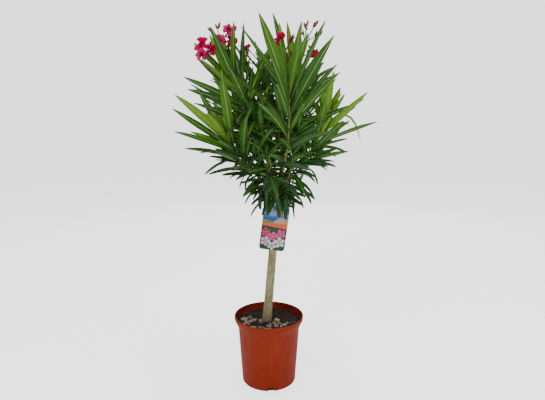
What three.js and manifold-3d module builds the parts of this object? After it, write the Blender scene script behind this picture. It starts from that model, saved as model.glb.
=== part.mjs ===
// Potted oleander, grown as a small standard: a plastic nursery pot filled with potting mix, one
// clean trunk, a head of leafy shoots in flower and bud, and a hang label looped round the trunk.
// Millimetres, +Z up. The origin is the middle of the pot's flat underside. -Y is the front, the
// side that the label faces, and +X is to its right.

import * as THREE from "three";
import { mergeVertices } from "three/addons/utils/BufferGeometryUtils.js";
import Module from "manifold-3d";

const wasm = await Module();
wasm.setup();

const UP = new THREE.Vector3(0, 0, 1);
const EAST = new THREE.Vector3(1, 0, 0);
const GAP = 0.3; // clearance between pieces that bear on each other

// ---- sizes ----

const POT = {
  height: 187,
  baseRadius: 72.5,
  footRadius: 74.3, // outer wall just above the rounded foot
  footRound: 3,
  wallSlope: 0.066, // how much the outer radius grows with each millimetre of height
  ridgeHeight: 155,
  ridgeProud: 0.8,
  rimRadius: 95,
  rimEdge: 6, // height of the rim's upright edge
  wall: 1.6,
  floor: 2,
  sides: 36,
};
const DRAIN = { count: 4, width: 14.5, height: 11, inner: 60, outer: 80, turn: -85.5 };

const MIX = {
  top: 170, // level of the mix round the trunk
  seatRadius: 24,
  dip: 3, // how far its surface falls and rises towards the wall
  rounds: [36, 52, 68],
};

const TRUNK = {
  line: [
    [-6, 0, MIX.top + GAP],
    [-1, 1, 225],
    [6, -1, 310],
    [11, 0, 375],
    [15, 0, 450],
    [17, 0, 540],
  ],
  footFlare: 2.4, // extra radius of the root flare at the mix
  flareHeight: 14,
  lowRadius: 11.3,
  highRadius: 9.4,
  headRadius: 11.4, // swollen fork that carries the boughs
  headHeight: 34,
  domeHeight: 5,
  sides: 12,
  rings: 16,
};
const HEAD = new THREE.Vector3(17, 0, 540);

const LABEL = {
  width: 69,
  height: 123,
  corner: 8,
  thick: 0.8,
  centre: [15, 434.5], // X and Z of the plate's middle
  front: -11.9, // Y of the plate's face
  turn: -7.5, // degrees, clockwise from the front
  tongueWidth: 13,
  tongueHeight: 9,
  tongueShift: -10, // from the plate's middle line, so that it meets the trunk
  bandHeight: 5,
  bandLevel: 497,
  bandInner: 10.3,
  bandThick: 1.8,
};

// Four sorts of shoot. Angles are in degrees from the stem: leaves open from tipOpen at its tip to
// baseOpen at its foot, and bend on outwards by tipBend to baseBend along their length.
const KINDS = {
  leader: {
    whorls: 8, bare: 0.26, leaf: 205, slim: 0.122, least: 0.6, seek: 0.3, stem: 3.5,
    tipOpen: 14, baseOpen: 58, tipBend: 6, baseBend: 22, stations: [0, 0.22, 0.5, 0.8],
  },
  side: {
    whorls: 7, bare: 0.36, leaf: 195, slim: 0.122, least: 0.5, seek: 0.55, stem: 3.1,
    tipOpen: 16, baseOpen: 52, tipBend: 6, baseBend: 22, stations: [0, 0.22, 0.5, 0.8],
  },
  low: {
    whorls: 6, bare: 0.34, leaf: 118, slim: 0.14, least: 0.75, seek: 0.3, stem: 2.6,
    tipOpen: 32, baseOpen: 95, tipBend: 35, baseBend: 60, stations: [0, 0.32, 0.7],
  },
  skirt: {
    whorls: 3, bare: 0.42, leaf: 80, slim: 0.165, least: 0.7, seek: 0.1, stem: 2.1,
    tipOpen: 70, baseOpen: 126, tipBend: 38, baseBend: 24, stations: [0, 0.32, 0.7],
  },
};

// The shoots that show singly. azimuth, spread and rise say where the tip stands from the head's
// top, launch how far from upright the stem sets off, level how far below the top its root is, from
// the bearing of the root on the trunk, and roll and seed how its whorls are turned.
const SHOOTS = [
  { name: "tall_front", kind: "leader", azimuth: -55, spread: 50, rise: 275, launch: 35,
    level: 2, from: -60, roll: 30, seed: 22, leaf: 215 },
  { name: "tall_left", kind: "leader", azimuth: 180, spread: 118, rise: 285, launch: 6,
    level: 2, from: 210, roll: 0, seed: 9 },
  { name: "budded", kind: "leader", azimuth: 52, spread: 92, rise: 292, launch: 22,
    level: 2, from: 55, roll: 60, seed: 29 },
  { name: "back", kind: "leader", azimuth: 110, spread: 90, rise: 275, launch: 25,
    level: 2, from: 120, roll: 45, seed: 32 },
  { name: "left", kind: "side", azimuth: 195, spread: 128, rise: 130, launch: 45,
    level: 12, from: 190, roll: 75, seed: 14, leaf: 205 },
  { name: "right", kind: "side", azimuth: 0, spread: 130, rise: 172, launch: 50,
    level: 12, from: -24, roll: 30, seed: 10, leaf: 175 },
  { name: "back_right", kind: "side", azimuth: 36, spread: 108, rise: 200, launch: 34,
    level: 13, from: 22, roll: 0, seed: 4, leaf: 175 },
  { name: "back_left", kind: "side", azimuth: 148, spread: 130, rise: 220, launch: 32,
    level: 12, from: 150, roll: 15, seed: 20 },
  { name: "low_front_left", kind: "low", azimuth: -112, spread: 58, rise: 85, launch: 48,
    level: 20, from: -115, roll: 0, seed: 40 },
  { name: "low_front_right", kind: "low", azimuth: -45, spread: 62, rise: 88, launch: 55,
    level: 21, from: -45, roll: 60, seed: 29 },
  { name: "low_back_right", kind: "low", azimuth: 45, spread: 66, rise: 92, launch: 55,
    level: 23, from: 30, roll: 75, seed: 35 },
  { name: "low_back", kind: "low", azimuth: 90, spread: 66, rise: 92, launch: 45,
    level: 21, from: 90, roll: 75, seed: 35 },
  { name: "low_back_left", kind: "low", azimuth: 140, spread: 62, rise: 90, launch: 50,
    level: 24, from: 135, roll: 30, seed: 8 },
];

// The ring of short twigs round the foot of the head, whose leaves hang.
const SKIRT = {
  count: 8, first: -80, spread: 32, rise: [0, -8], launch: 72, level: [29, 34],
  seeds: [37, 24, 6, 4, 19, 17, 1, 29],
};

// Flower heads at the tips of shoots. turn and tilt aim the branches, stalk is the bare stalk below
// them, reach the length of a branch; the first branches end in open flowers, the rest in buds.
const PANICLES = {
  tall_left: { stalk: 62, branches: 7, flowers: 5, reach: 56, tilt: [8, 78], turn: 200, lean: 12 },
  tall_front: { stalk: 74, branches: 3, flowers: 1, reach: 24, tilt: [8, 45], turn: 200, lean: -4 },
  budded: { stalk: 84, branches: 4, flowers: 1, reach: 66, tilt: [75, 5], turn: 250, lean: 8 },
  back: { stalk: 42, branches: 5, flowers: 3, reach: 44, tilt: [10, 70], turn: 130, lean: -6 },
  back_left: { stalk: 70, branches: 2, flowers: 0, reach: 22, tilt: [10, 35], turn: 0, lean: 28 },
};
const FLOWER = { radius: 19, tube: 12, cup: 4, petals: 5, notch: 0.5 };
const BUD = { length: 17, radius: 2.6, spread: 20, count: 2 };
const STALK_RADIUS = 1.3;

const LEAF_NECK = 0.08; // narrowest part of a leaf, as a share of its width
const LEAF_DEPTH = 1.2; // least depth of the keel under a leaf, in the wider parts
const LEAF_SLENDER = 90; // a longer leaf's length over the depth of its keel
const WHORL = 3; // leaves at each node
const SWINGS = { turn: 12, open: 9, length: 0.12, bend: 9, roll: 12 }; // how far the draws reach
const CROWDING = 0.85; // below 1, nodes stand closer towards the tip
const LEADER_RING = 6.2; // how far from the trunk's axis the line of a leader starts
const LIMB_RING = 5; // the same for every other stem
const SEAM = 10; // length of stem between the end of a bough and the first node of its mass
const STEM_SIDES = 4;
const BOUGH_SIDES = 6;
const LIMB_STEPS = 4;

// Colours of the solids.
const TERRACOTTA = 0xa8432a;
const PEAT = 0x2c2018;
const BARK = 0x8f8a6c;
const PRINTED_CARD = 0xd98fa8;
const GREEN_BARK = 0x6f7a4a;
const LEAF_GREEN = 0x2f6b24;

// Leaves keep to cells of the air that no other mass holds.
const CELL = 3;
const STEP = 1.5; // spacing of the points that stand for a leaf or a limb
const LEAF_ROOT = 0.08; // share of a leaf, from its root, that isn't tested
const LEAF_INNER = 0.15; // share that may lie against leaves of its own mass
// What is tried when a leaf meets something: a further turn about the stem, and a share of its length.
const TRIES = [
  [0, 1],
  [12, 1],
  [-12, 1],
  [24, 1],
  [-24, 1],
  [0, 0.85],
  [16, 0.8],
  [-16, 0.8],
  [30, 0.75],
  [-30, 0.75],
  [8, 0.6],
  [-22, 0.6],
  [45, 0.6],
];

// ---- numbers and solids ----

const rad = THREE.MathUtils.degToRad;
const mix = THREE.MathUtils.lerp;

// A repeatable run of numbers from 0 to 1.
function seeded(seed) {
  let state = seed >>> 0;
  const draw = () => {
    state = (Math.imul(state, 1664525) + 1013904223) >>> 0;
    return state / 4294967296;
  };
  draw();
  draw();
  draw();
  return draw;
}

// The level direction at an azimuth.
function bearing(azimuth) {
  return new THREE.Vector3(Math.cos(rad(azimuth)), Math.sin(rad(azimuth)), 0);
}

// A closed geometry as a solid that can be joined and cut.
function solidOf(geometry) {
  const bare = new THREE.BufferGeometry();
  bare.setAttribute("position", geometry.getAttribute("position").clone());
  bare.setIndex(geometry.index);
  const merged = mergeVertices(bare, 1e-4);
  const corners = merged.index.array;
  const kept = [];
  for (let i = 0; i < corners.length; i += 3) {
    const [a, b, c] = [corners[i], corners[i + 1], corners[i + 2]];
    if (a !== b && b !== c && c !== a) kept.push(a, b, c);
  }
  return new wasm.Manifold(
    new wasm.Mesh({
      numProp: 3,
      vertProperties: merged.attributes.position.array,
      triVerts: new Uint32Array(kept),
    }),
  );
}

function geometryOf(solid) {
  const { vertProperties, triVerts } = solid.getMesh();
  const geometry = new THREE.BufferGeometry();
  geometry.setAttribute("position", new THREE.BufferAttribute(vertProperties, 3));
  geometry.setIndex(new THREE.BufferAttribute(triVerts, 1));
  return geometry;
}

// A closed skin through rings of points that all turn the same way about the line of travel. Its
// start is capped, and so is its end unless that draws in to a tip.
function loft(rings, tip = null) {
  const around = rings[0].length;
  const points = rings.flat();
  const faces = [];
  for (let k = 1; k < around - 1; k++) faces.push(0, k + 1, k);
  for (let a = 0; a < (rings.length - 1) * around; a++) {
    const b = (a + 1) % around === 0 ? a + 1 - around : a + 1;
    faces.push(a, b, b + around, a, b + around, a + around);
  }
  const last = points.length - around;
  for (let k = 0; k < around; k++) {
    if (tip) faces.push(last + k, last + ((k + 1) % around), points.length);
    else if (k > 0 && k < around - 1) faces.push(last, last + k, last + k + 1);
  }
  if (tip) points.push(tip);
  const geometry = new THREE.BufferGeometry().setFromPoints(points);
  geometry.setIndex(faces);
  return geometry;
}

// A round ring of points about a centre, square to a direction.
function ring(centre, along, side, radius, sides) {
  const over = new THREE.Vector3().crossVectors(along, side).normalize();
  return Array.from({ length: sides }, (_, k) => {
    const angle = (2 * Math.PI * k) / sides;
    return centre
      .clone()
      .addScaledVector(side, radius * Math.cos(angle))
      .addScaledVector(over, radius * Math.sin(angle));
  });
}

// A tapering round limb along a curve, from one share of its length to another.
function limb(curve, from, to, radiusAt, sides, steps) {
  const rings = [];
  for (let i = 0; i <= steps; i++) {
    const u = mix(from, to, i / steps);
    const along = curve.getTangent(u);
    const side = new THREE.Vector3().crossVectors(along, UP);
    if (side.lengthSq() < 1e-4) side.set(1, 0, 0);
    side.addScaledVector(along, -side.dot(along)).normalize();
    rings.push(ring(curve.getPoint(u), along, side, radiusAt(u), sides));
  }
  return loft(rings);
}

// ---- pot, mix, trunk and label ----

// A profile of [radius, height] pairs turned about the Z axis.
function turned(profile, sides) {
  const points = profile.map(([radius, height]) => new THREE.Vector2(radius, height));
  return new THREE.LatheGeometry(points, sides).rotateX(Math.PI / 2);
}

// Outer radius of the pot's straight wall at a height.
function wallRadius(height) {
  return POT.footRadius + POT.wallSlope * (height - POT.footRound);
}

// Outer line of the bell-mouthed rim, from the ridge up to the edge.
function rimLine(inset) {
  const start = wallRadius(POT.ridgeHeight);
  const top = POT.height - POT.rimEdge;
  return [0.25, 0.5, 0.75, 1].map((share) => [
    mix(start, POT.rimRadius, Math.sin((share * Math.PI) / 2) ** 1.6) - inset,
    mix(POT.ridgeHeight, top, share),
  ]);
}

function makePot() {
  const { ridgeHeight, ridgeProud, wall, floor } = POT;
  const innerWall = (height) => wallRadius(height) - wall;
  const outside = [
    [0, 0],
    [POT.baseRadius, 0],
    [POT.footRadius, POT.footRound],
    [wallRadius(ridgeHeight - 4), ridgeHeight - 4],
    [wallRadius(ridgeHeight - 2) + ridgeProud, ridgeHeight - 2],
    [wallRadius(ridgeHeight) + ridgeProud, ridgeHeight],
    ...rimLine(0),
    [POT.rimRadius, POT.height - 1],
    [POT.rimRadius - 1, POT.height],
  ];
  const inside = [
    [POT.rimRadius - wall - 1, POT.height],
    ...rimLine(wall).reverse(),
    [innerWall(ridgeHeight), ridgeHeight],
    [innerWall(floor), floor],
    [0, floor],
  ];
  let pot = solidOf(turned([...outside, ...inside], POT.sides));
  for (let k = 0; k < DRAIN.count; k++) {
    const notch = new THREE.BoxGeometry(DRAIN.outer - DRAIN.inner, DRAIN.width, 2 * DRAIN.height);
    notch.translate((DRAIN.outer + DRAIN.inner) / 2, 0, 0);
    notch.rotateZ(rad(DRAIN.turn + (360 / DRAIN.count) * k));
    pot = pot.subtract(solidOf(notch));
  }
  return geometryOf(pot);
}

// Potting mix: it fills the pot, with a level seat round the trunk and an uneven face beyond.
function makeMix() {
  const edge = (height) => wallRadius(height) - POT.wall - GAP;
  const foot = POT.floor + GAP;
  const profile = [
    [0, foot],
    [edge(foot), foot],
    [edge(POT.ridgeHeight), POT.ridgeHeight],
    ...rimLine(POT.wall + GAP).slice(0, 2),
    ...MIX.rounds.toReversed().map((radius) => [radius, MIX.top]),
    [MIX.seatRadius, MIX.top],
    [0, MIX.top],
  ];
  const geometry = turned(profile, POT.sides / 2);
  const place = geometry.getAttribute("position");
  for (let i = 0; i < place.count; i++) {
    const [x, y, z] = [place.getX(i), place.getY(i), place.getZ(i)];
    const out = Math.max(0, Math.hypot(x, y) - MIX.seatRadius) / MIX.seatRadius;
    const wave = Math.sin(x / 13 + y / 29) * Math.cos(y / 11 - x / 31);
    if (z === MIX.top) place.setZ(i, z + MIX.dip * Math.min(1, out) * wave);
  }
  return geometry;
}

const trunkCurve = new THREE.CatmullRomCurve3(TRUNK.line.map((point) => new THREE.Vector3(...point)));

// Radius of the trunk at a height: root flare, even taper, and the swollen fork.
function trunkRadius(height) {
  const above = height - MIX.top;
  const share = above / (HEAD.z - MIX.top);
  const flare = TRUNK.footFlare * Math.exp(-above / TRUNK.flareHeight);
  const swell = THREE.MathUtils.smoothstep(height, HEAD.z - TRUNK.headHeight, HEAD.z - 8);
  const plain = mix(TRUNK.lowRadius, TRUNK.highRadius, Math.min(1, share * 1.1));
  return plain + flare + (TRUNK.headRadius - TRUNK.highRadius) * swell;
}

// The trunk, or the same shape grown by a clearance, for cutting the limbs that sit on it.
function trunkShape(grow) {
  const rings = [];
  const side = new THREE.Vector3(0, 1, 0);
  for (let i = 0; i <= TRUNK.rings; i++) {
    const u = (i / TRUNK.rings) ** 0.9;
    const centre = trunkCurve.getPointAt(u);
    const along = i === 0 ? UP : trunkCurve.getTangentAt(u);
    rings.push(ring(centre, along, side, trunkRadius(centre.z) + grow, TRUNK.sides));
  }
  const dome = HEAD.clone().addScaledVector(UP, (TRUNK.domeHeight + grow) * 0.7);
  rings.push(ring(dome, UP, side, TRUNK.headRadius * 0.72 + grow, TRUNK.sides));
  return loft(rings, HEAD.clone().addScaledVector(UP, TRUNK.domeHeight + grow));
}

// The trunk's axis at a height near its top.
function trunkAxis(height) {
  let [low, high] = [0, 1];
  for (let i = 0; i < 30; i++) {
    const middle = (low + high) / 2;
    if (trunkCurve.getPointAt(middle).z < height) low = middle;
    else high = middle;
  }
  return trunkCurve.getPointAt(low);
}

// Hang label: a thin rounded plate whose tongue runs up to a band round the trunk.
function makeLabel() {
  const { width, height, corner, thick, tongueWidth, tongueHeight, tongueShift } = LABEL;
  const [right, top] = [width / 2, height / 2];
  const [tongueLeft, tongueRight] = [tongueShift - tongueWidth / 2, tongueShift + tongueWidth / 2];
  const plate = new THREE.Shape();
  plate.absarc(right - corner, top - corner, corner, 0, Math.PI / 2);
  plate.lineTo(tongueRight, top);
  plate.lineTo(tongueRight, top + tongueHeight);
  plate.lineTo(tongueLeft, top + tongueHeight);
  plate.lineTo(tongueLeft, top);
  plate.absarc(corner - right, top - corner, corner, Math.PI / 2, Math.PI);
  plate.absarc(corner - right, corner - top, corner, Math.PI, 1.5 * Math.PI);
  plate.absarc(right - corner, corner - top, corner, 1.5 * Math.PI, 2 * Math.PI);
  const sheet = new THREE.ExtrudeGeometry(plate, { depth: thick, bevelEnabled: false, curveSegments: 4 });
  sheet.translate(0, 0, -thick).rotateZ(rad(LABEL.turn)).rotateX(Math.PI / 2);
  sheet.translate(LABEL.centre[0], LABEL.front, LABEL.centre[1]);
  const outer = new THREE.Shape();
  outer.absarc(0, 0, LABEL.bandInner + LABEL.bandThick, 0, 2 * Math.PI);
  const bore = new THREE.Path();
  bore.absarc(0, 0, LABEL.bandInner, 0, 2 * Math.PI);
  outer.holes.push(bore);
  const band = new THREE.ExtrudeGeometry(outer, {
    depth: LABEL.bandHeight,
    bevelEnabled: false,
    curveSegments: 10,
  });
  const hold = trunkAxis(LABEL.bandLevel);
  band.translate(hold.x, hold.y, LABEL.bandLevel - LABEL.bandHeight / 2);
  return geometryOf(solidOf(sheet).add(solidOf(band)));
}

// Points over the label's plate, for claiming its cells.
function labelPoints() {
  const points = [];
  const room = 7; // covers the plate's slant
  const [halfWide, halfHigh] = [LABEL.width / 2 + room, LABEL.height / 2 + room];
  for (let x = -halfWide; x <= halfWide; x += CELL) {
    for (let z = -halfHigh; z <= halfHigh; z += CELL) {
      points.push(new THREE.Vector3(LABEL.centre[0] + x, LABEL.front, LABEL.centre[1] + z));
    }
  }
  return points;
}

// ---- shoots ----

// Every shoot with the sizes of its kind filled in.
function allShoots() {
  const shoots = SHOOTS.map((shoot) => ({ ...KINDS[shoot.kind], ...shoot }));
  for (let n = 0; n < SKIRT.count; n++) {
    const azimuth = SKIRT.first + (360 / SKIRT.count) * n;
    shoots.push({
      ...KINDS.skirt,
      name: `skirt_${n + 1}`,
      kind: "skirt",
      azimuth,
      from: azimuth,
      spread: SKIRT.spread,
      rise: SKIRT.rise[n % 2],
      launch: SKIRT.launch,
      level: SKIRT.level[n % 2],
      roll: 0,
      seed: SKIRT.seeds[n],
    });
  }
  return shoots;
}

// The stem: it leaves the trunk at its launch angle and sweeps up to its tip.
function stemCurve(shoot) {
  const out = bearing(shoot.azimuth);
  const rootRing = shoot.kind === "leader" ? LEADER_RING : LIMB_RING;
  const set = trunkAxis(HEAD.z - shoot.level).addScaledVector(bearing(shoot.from), rootRing);
  const tip = HEAD.clone().addScaledVector(out, shoot.spread).addScaledVector(UP, shoot.rise);
  const half = set.distanceTo(tip) / 2;
  const knee = set
    .clone()
    .addScaledVector(out, Math.sin(rad(shoot.launch)) * half)
    .addScaledVector(UP, Math.cos(rad(shoot.launch)) * half);
  return new THREE.QuadraticBezierCurve3(set, knee, tip);
}

function stemRadius(shoot, u) {
  return shoot.stem * mix(1.08, 0.5, u);
}

// Half the width of a leaf at a share of its length: narrow stalk, widest just under the middle.
function halfWidth(share, width) {
  const swell = Math.sin(Math.PI * Math.min(1, share) ** 0.9) ** (1.3 - 0.5 * share);
  return (width / 2) * Math.max(LEAF_NECK, swell);
}

// A leaf on the stem at a node: its rib bends outwards as it goes.
function aimLeaf(node, draws, turnBy, share) {
  const { point, axis, side } = node;
  const open = rad(draws.open);
  const bend = rad(draws.bend);
  const length = draws.length * share;
  const around = side.clone().applyAxisAngle(axis, rad(draws.turn + turnBy));
  const heading = (angle) =>
    axis.clone().multiplyScalar(Math.cos(angle)).addScaledVector(around, Math.sin(angle));
  const first = heading(open);
  const middle = point.clone().addScaledVector(first, length / 2);
  const tip = middle.clone().addScaledVector(heading(open + bend), length / 2);
  const across = new THREE.Vector3().crossVectors(axis, around).applyAxisAngle(first, rad(draws.roll));
  const rib = new THREE.QuadraticBezierCurve3(point, middle, tip);
  return { rib, across, length, width: length * draws.slim };
}

// Points spread over a leaf's blade and its keel, close enough that no cell it crosses is missed.
function leafPoints(leaf) {
  const points = [];
  const steps = Math.ceil(leaf.length / STEP);
  for (let i = 0; i <= steps; i++) {
    const share = mix(LEAF_ROOT, 1, i / steps);
    const centre = leaf.rib.getPoint(share);
    const half = halfWidth(share, leaf.width);
    const under = new THREE.Vector3().crossVectors(leaf.across, leaf.rib.getTangent(share));
    const ways = Math.ceil(half / STEP);
    points.push(centre.clone().addScaledVector(under, leafDepth(leaf, half)));
    for (let k = -ways; k <= ways; k++) {
      points.push(centre.clone().addScaledVector(leaf.across, (half * k) / ways));
    }
  }
  return points;
}

// Depth of a leaf's keel where the blade has a given half width.
function leafDepth(leaf, half) {
  return Math.min(Math.max(leaf.length / LEAF_SLENDER, LEAF_DEPTH), half);
}

// Who holds each small cell of the air round the plant.
class Space {
  constructor() {
    this.holders = new Map();
  }

  static key(i, j, k) {
    return (i * 1024 + j) * 1024 + k;
  }

  static cell(point) {
    const offset = 512;
    return [point.x, point.y, point.z].map((value) => Math.floor(value / CELL + 0.5) + offset);
  }

  // Take the cells under some points, where nobody holds them yet.
  claim(points, holder) {
    for (const point of points) {
      const key = Space.key(...Space.cell(point));
      if (!this.holders.has(key)) this.holders.set(key, holder);
    }
  }

  // True when a leaf's outer part would pass through a leaf of the same mass.
  crosses(points, holder) {
    const outer = points.slice(Math.floor(points.length * LEAF_INNER));
    return outer.some((point) => this.holders.get(Space.key(...Space.cell(point))) === holder);
  }

  // True when the cells under the points are free or the holder's own.
  free(points, holder) {
    return points.every((point) => {
      const held = this.holders.get(Space.key(...Space.cell(point)));
      return held === undefined || held === holder;
    });
  }
}

// Points inside a round limb, for claiming its cells.
function limbPoints(curve, from, to, radiusAt) {
  const points = [];
  const steps = Math.ceil((curve.getLength() * (to - from)) / STEP);
  for (let i = 0; i <= steps; i++) {
    const u = mix(from, to, i / steps);
    const [centre, radius] = [curve.getPoint(u), radiusAt(u)];
    points.push(centre);
    for (const reach of [radius / 2, radius]) points.push(...ring(centre, UP, EAST, reach, 16));
  }
  return points;
}

// The whorls of a shoot, three leaves each, every whorl turned half a step from the last. A leaf
// that would meet another mass or a limb is turned or shortened, and left out if that fails.
function growLeaves(shoot, curve, space) {
  const draw = seeded(shoot.seed);
  const swing = (size) => size * (draw() * 2 - 1);
  const leaves = [];
  for (let i = 0; i < shoot.whorls; i++) {
    const age = 1 - i / (shoot.whorls - 1);
    const u = mix(shoot.bare, 1, (1 - age) ** CROWDING);
    const axis = curve.getTangent(u).addScaledVector(UP, shoot.seek).normalize();
    const side = new THREE.Vector3().crossVectors(axis, UP).normalize();
    const node = { point: curve.getPoint(u), axis, side };
    for (let k = 0; k < WHORL; k++) {
      const fullness = mix(shoot.least, 1, Math.sin(Math.PI * age ** 0.7));
      const draws = {
        turn: shoot.roll + (360 / WHORL) * (k + i / 2) + swing(SWINGS.turn),
        open: mix(shoot.tipOpen, shoot.baseOpen, age ** 0.8) + swing(SWINGS.open),
        length: shoot.leaf * fullness * (1 + swing(SWINGS.length)),
        bend: mix(shoot.tipBend, shoot.baseBend, age) + swing(SWINGS.bend),
        roll: swing(SWINGS.roll),
        slim: shoot.slim,
      };
      let place = null;
      for (const [turnBy, share] of TRIES) {
        const leaf = aimLeaf(node, draws, turnBy, share);
        const points = leafPoints(leaf);
        if (!space.free(points, shoot.name)) continue;
        const clear = !space.crosses(points, shoot.name);
        if (clear || !place) place = { leaf, points };
        if (clear) break;
      }
      if (!place) continue;
      space.claim(place.points, shoot.name);
      leaves.push(place.leaf);
    }
  }
  return leaves;
}

// A leaf's solid: flat above, with its thickness in a keel along the rib below.
function leafShape(leaf, stations) {
  const rings = stations.map((share) => {
    const centre = leaf.rib.getPoint(share);
    const under = new THREE.Vector3().crossVectors(leaf.across, leaf.rib.getTangent(share));
    const half = halfWidth(share, leaf.width);
    return [
      centre.clone().addScaledVector(leaf.across, half),
      centre.clone().addScaledVector(leaf.across, -half),
      centre.clone().addScaledVector(under, leafDepth(leaf, half)),
    ];
  });
  return loft(rings, leaf.rib.getPoint(1));
}

// ---- flowers ----

// A five-petalled flower that opens along a direction, from the end of its stalk.
function flowerShape(at, along) {
  const side = new THREE.Vector3().crossVectors(along, UP).normalize();
  const count = FLOWER.petals * 2;
  const star = ring(at.clone().addScaledVector(along, FLOWER.tube), along, side, FLOWER.radius, count);
  const middle = at.clone().addScaledVector(along, FLOWER.tube);
  star.forEach((point, k) => {
    if (k % 2) point.lerp(middle, FLOWER.notch);
    else point.addScaledVector(along, FLOWER.cup);
  });
  const foot = ring(at, along, side, STALK_RADIUS, count);
  return loft([foot, star], middle.addScaledVector(along, -FLOWER.cup / 2));
}

// A closed bud, a slim spindle on the end of its stalk.
function budShape(at, along) {
  const side = new THREE.Vector3().crossVectors(along, UP).normalize();
  const waist = at.clone().addScaledVector(along, BUD.length * 0.45);
  return loft(
    [ring(at, along, side, STALK_RADIUS, 3), ring(waist, along, side, BUD.radius, 3)],
    at.clone().addScaledVector(along, BUD.length),
  );
}

// The branches of a flower head: each has a start, a direction, a length and what it carries.
function panicleBranches(shoot, curve) {
  const head = PANICLES[shoot.name];
  const axis = curve.getTangent(1).addScaledVector(UP, 0.4);
  axis.addScaledVector(bearing(shoot.azimuth), Math.tan(rad(head.lean))).normalize();
  const side = new THREE.Vector3().crossVectors(axis, UP).normalize();
  const fork = curve.getPoint(1).addScaledVector(axis, head.stalk);
  const branches = [];
  for (let k = 0; k < head.branches; k++) {
    const share = k / (head.branches - 1);
    const tilt = rad(mix(head.tilt[0], head.tilt[1], share));
    const around = side.clone().applyAxisAngle(axis, rad(head.turn + 137.5 * k));
    const along = axis.clone().multiplyScalar(Math.cos(tilt)).addScaledVector(around, Math.sin(tilt));
    const start = fork.clone().addScaledVector(axis, -head.stalk * 0.4 * (k % 2));
    const tip = start.clone().addScaledVector(along, head.reach * (1 - 0.18 * (k % 3)));
    branches.push({ start, along, tip, open: k < head.flowers });
  }
  return { base: curve.getPoint(1), fork, axis, branches };
}

// Directions of the buds at a branch's end.
function budFan(branch) {
  const side = new THREE.Vector3().crossVectors(branch.along, UP).normalize();
  return Array.from({ length: BUD.count }, (_, k) => {
    const around = side.clone().applyAxisAngle(branch.along, (2 * Math.PI * k) / BUD.count);
    return branch.along.clone().addScaledVector(around, Math.tan(rad(BUD.spread))).normalize();
  });
}

function stalkShape(start, end) {
  const along = end.clone().sub(start).normalize();
  const side = new THREE.Vector3().crossVectors(along, UP).normalize();
  return loft([ring(start, along, side, STALK_RADIUS, 3), ring(end, along, side, STALK_RADIUS, 3)]);
}

function panicleShapes(panicle) {
  const shapes = [stalkShape(panicle.base.clone().addScaledVector(panicle.axis, -4), panicle.fork)];
  for (const branch of panicle.branches) {
    const past = branch.tip.clone().addScaledVector(branch.along, 1);
    shapes.push(stalkShape(branch.start.clone().addScaledVector(panicle.axis, -1), past));
    if (branch.open) shapes.push(flowerShape(branch.tip, branch.along));
    else shapes.push(...budFan(branch).map((along) => budShape(branch.tip, along)));
  }
  return shapes;
}

// Points along a flower head, for claiming its cells.
function paniclePoints(panicle) {
  const points = [];
  const along = (start, end) => {
    for (let i = 0; i <= 12; i++) points.push(start.clone().lerp(end, i / 12));
  };
  along(panicle.base, panicle.fork);
  for (const branch of panicle.branches) {
    along(branch.start, branch.tip);
    const side = new THREE.Vector3().crossVectors(branch.along, UP).normalize();
    const reach = branch.open ? FLOWER.radius : BUD.radius * 3;
    const depth = branch.open ? FLOWER.tube : BUD.length;
    for (const lift of [depth / 2, depth]) {
      const centre = branch.tip.clone().addScaledVector(branch.along, lift);
      for (let r = 0; r <= reach; r += CELL) points.push(...ring(centre, branch.along, side, r, 12));
    }
  }
  return points;
}

// ---- the plant put together ----

const plant = new THREE.Group();

function add(name, geometry, colour, roughness) {
  const material = new THREE.MeshStandardMaterial({ color: colour, roughness, metalness: 0 });
  const mesh = new THREE.Mesh(geometry, material);
  mesh.name = name;
  plant.add(mesh);
}

add("pot", makePot(), TERRACOTTA, 0.45);
add("potting_mix", makeMix(), PEAT, 0.95);
add("trunk", trunkShape(0), BARK, 0.8);
add("label", makeLabel(), PRINTED_CARD, 0.4);

const space = new Space();
const shoots = allShoots();
const trunkCutter = solidOf(trunkShape(GAP));
space.claim(limbPoints(trunkCurve, 0, 1, () => TRUNK.headRadius), "trunk");
space.claim(labelPoints(), "label");

const grown = shoots.map((shoot) => {
  const curve = stemCurve(shoot);
  const radiusAt = (u) => stemRadius(shoot, u);
  const join = shoot.kind === "skirt" ? 0 : shoot.bare - SEAM / curve.getLength();
  if (join > 0) space.claim(limbPoints(curve, 0, join, radiusAt), `bough_${shoot.name}`);
  space.claim(limbPoints(curve, join, 1, radiusAt), shoot.name);
  const panicle = PANICLES[shoot.name] ? panicleBranches(shoot, curve) : null;
  if (panicle) space.claim(paniclePoints(panicle), shoot.name);
  return { shoot, curve, radiusAt, join, panicle };
});

for (const { shoot, curve, radiusAt, join, panicle } of grown) {
  if (join > 0) {
    const end = join - GAP / curve.getLength();
    const bough = solidOf(limb(curve, 0, end, radiusAt, BOUGH_SIDES, LIMB_STEPS));
    add(`bough_${shoot.name}`, geometryOf(bough.subtract(trunkCutter)), GREEN_BARK, 0.7);
  }
  let mass = solidOf(limb(curve, join, 1, radiusAt, STEM_SIDES, LIMB_STEPS));
  if (join === 0) mass = mass.subtract(trunkCutter);
  for (const leaf of growLeaves(shoot, curve, space)) {
    mass = mass.add(solidOf(leafShape(leaf, shoot.stations)));
  }
  if (panicle) {
    for (const shape of panicleShapes(panicle)) mass = mass.add(solidOf(shape));
  }
  add(`foliage_${shoot.name}`, geometryOf(mass), LEAF_GREEN, 0.5);
}

export default plant;
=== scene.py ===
"""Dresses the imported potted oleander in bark, leaves, blossom, pot, potting mix and label.

Sizes are in millimetres in the same frame as the solids: the origin is the middle of the pot's
underside, +Z is up and -Y is the front. A mesh is scaled to metres when it is built.
"""

import logging
import math
from collections.abc import Callable, Iterable, Sequence
from dataclasses import dataclass, field, replace
from enum import Enum
from typing import ClassVar

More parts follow.
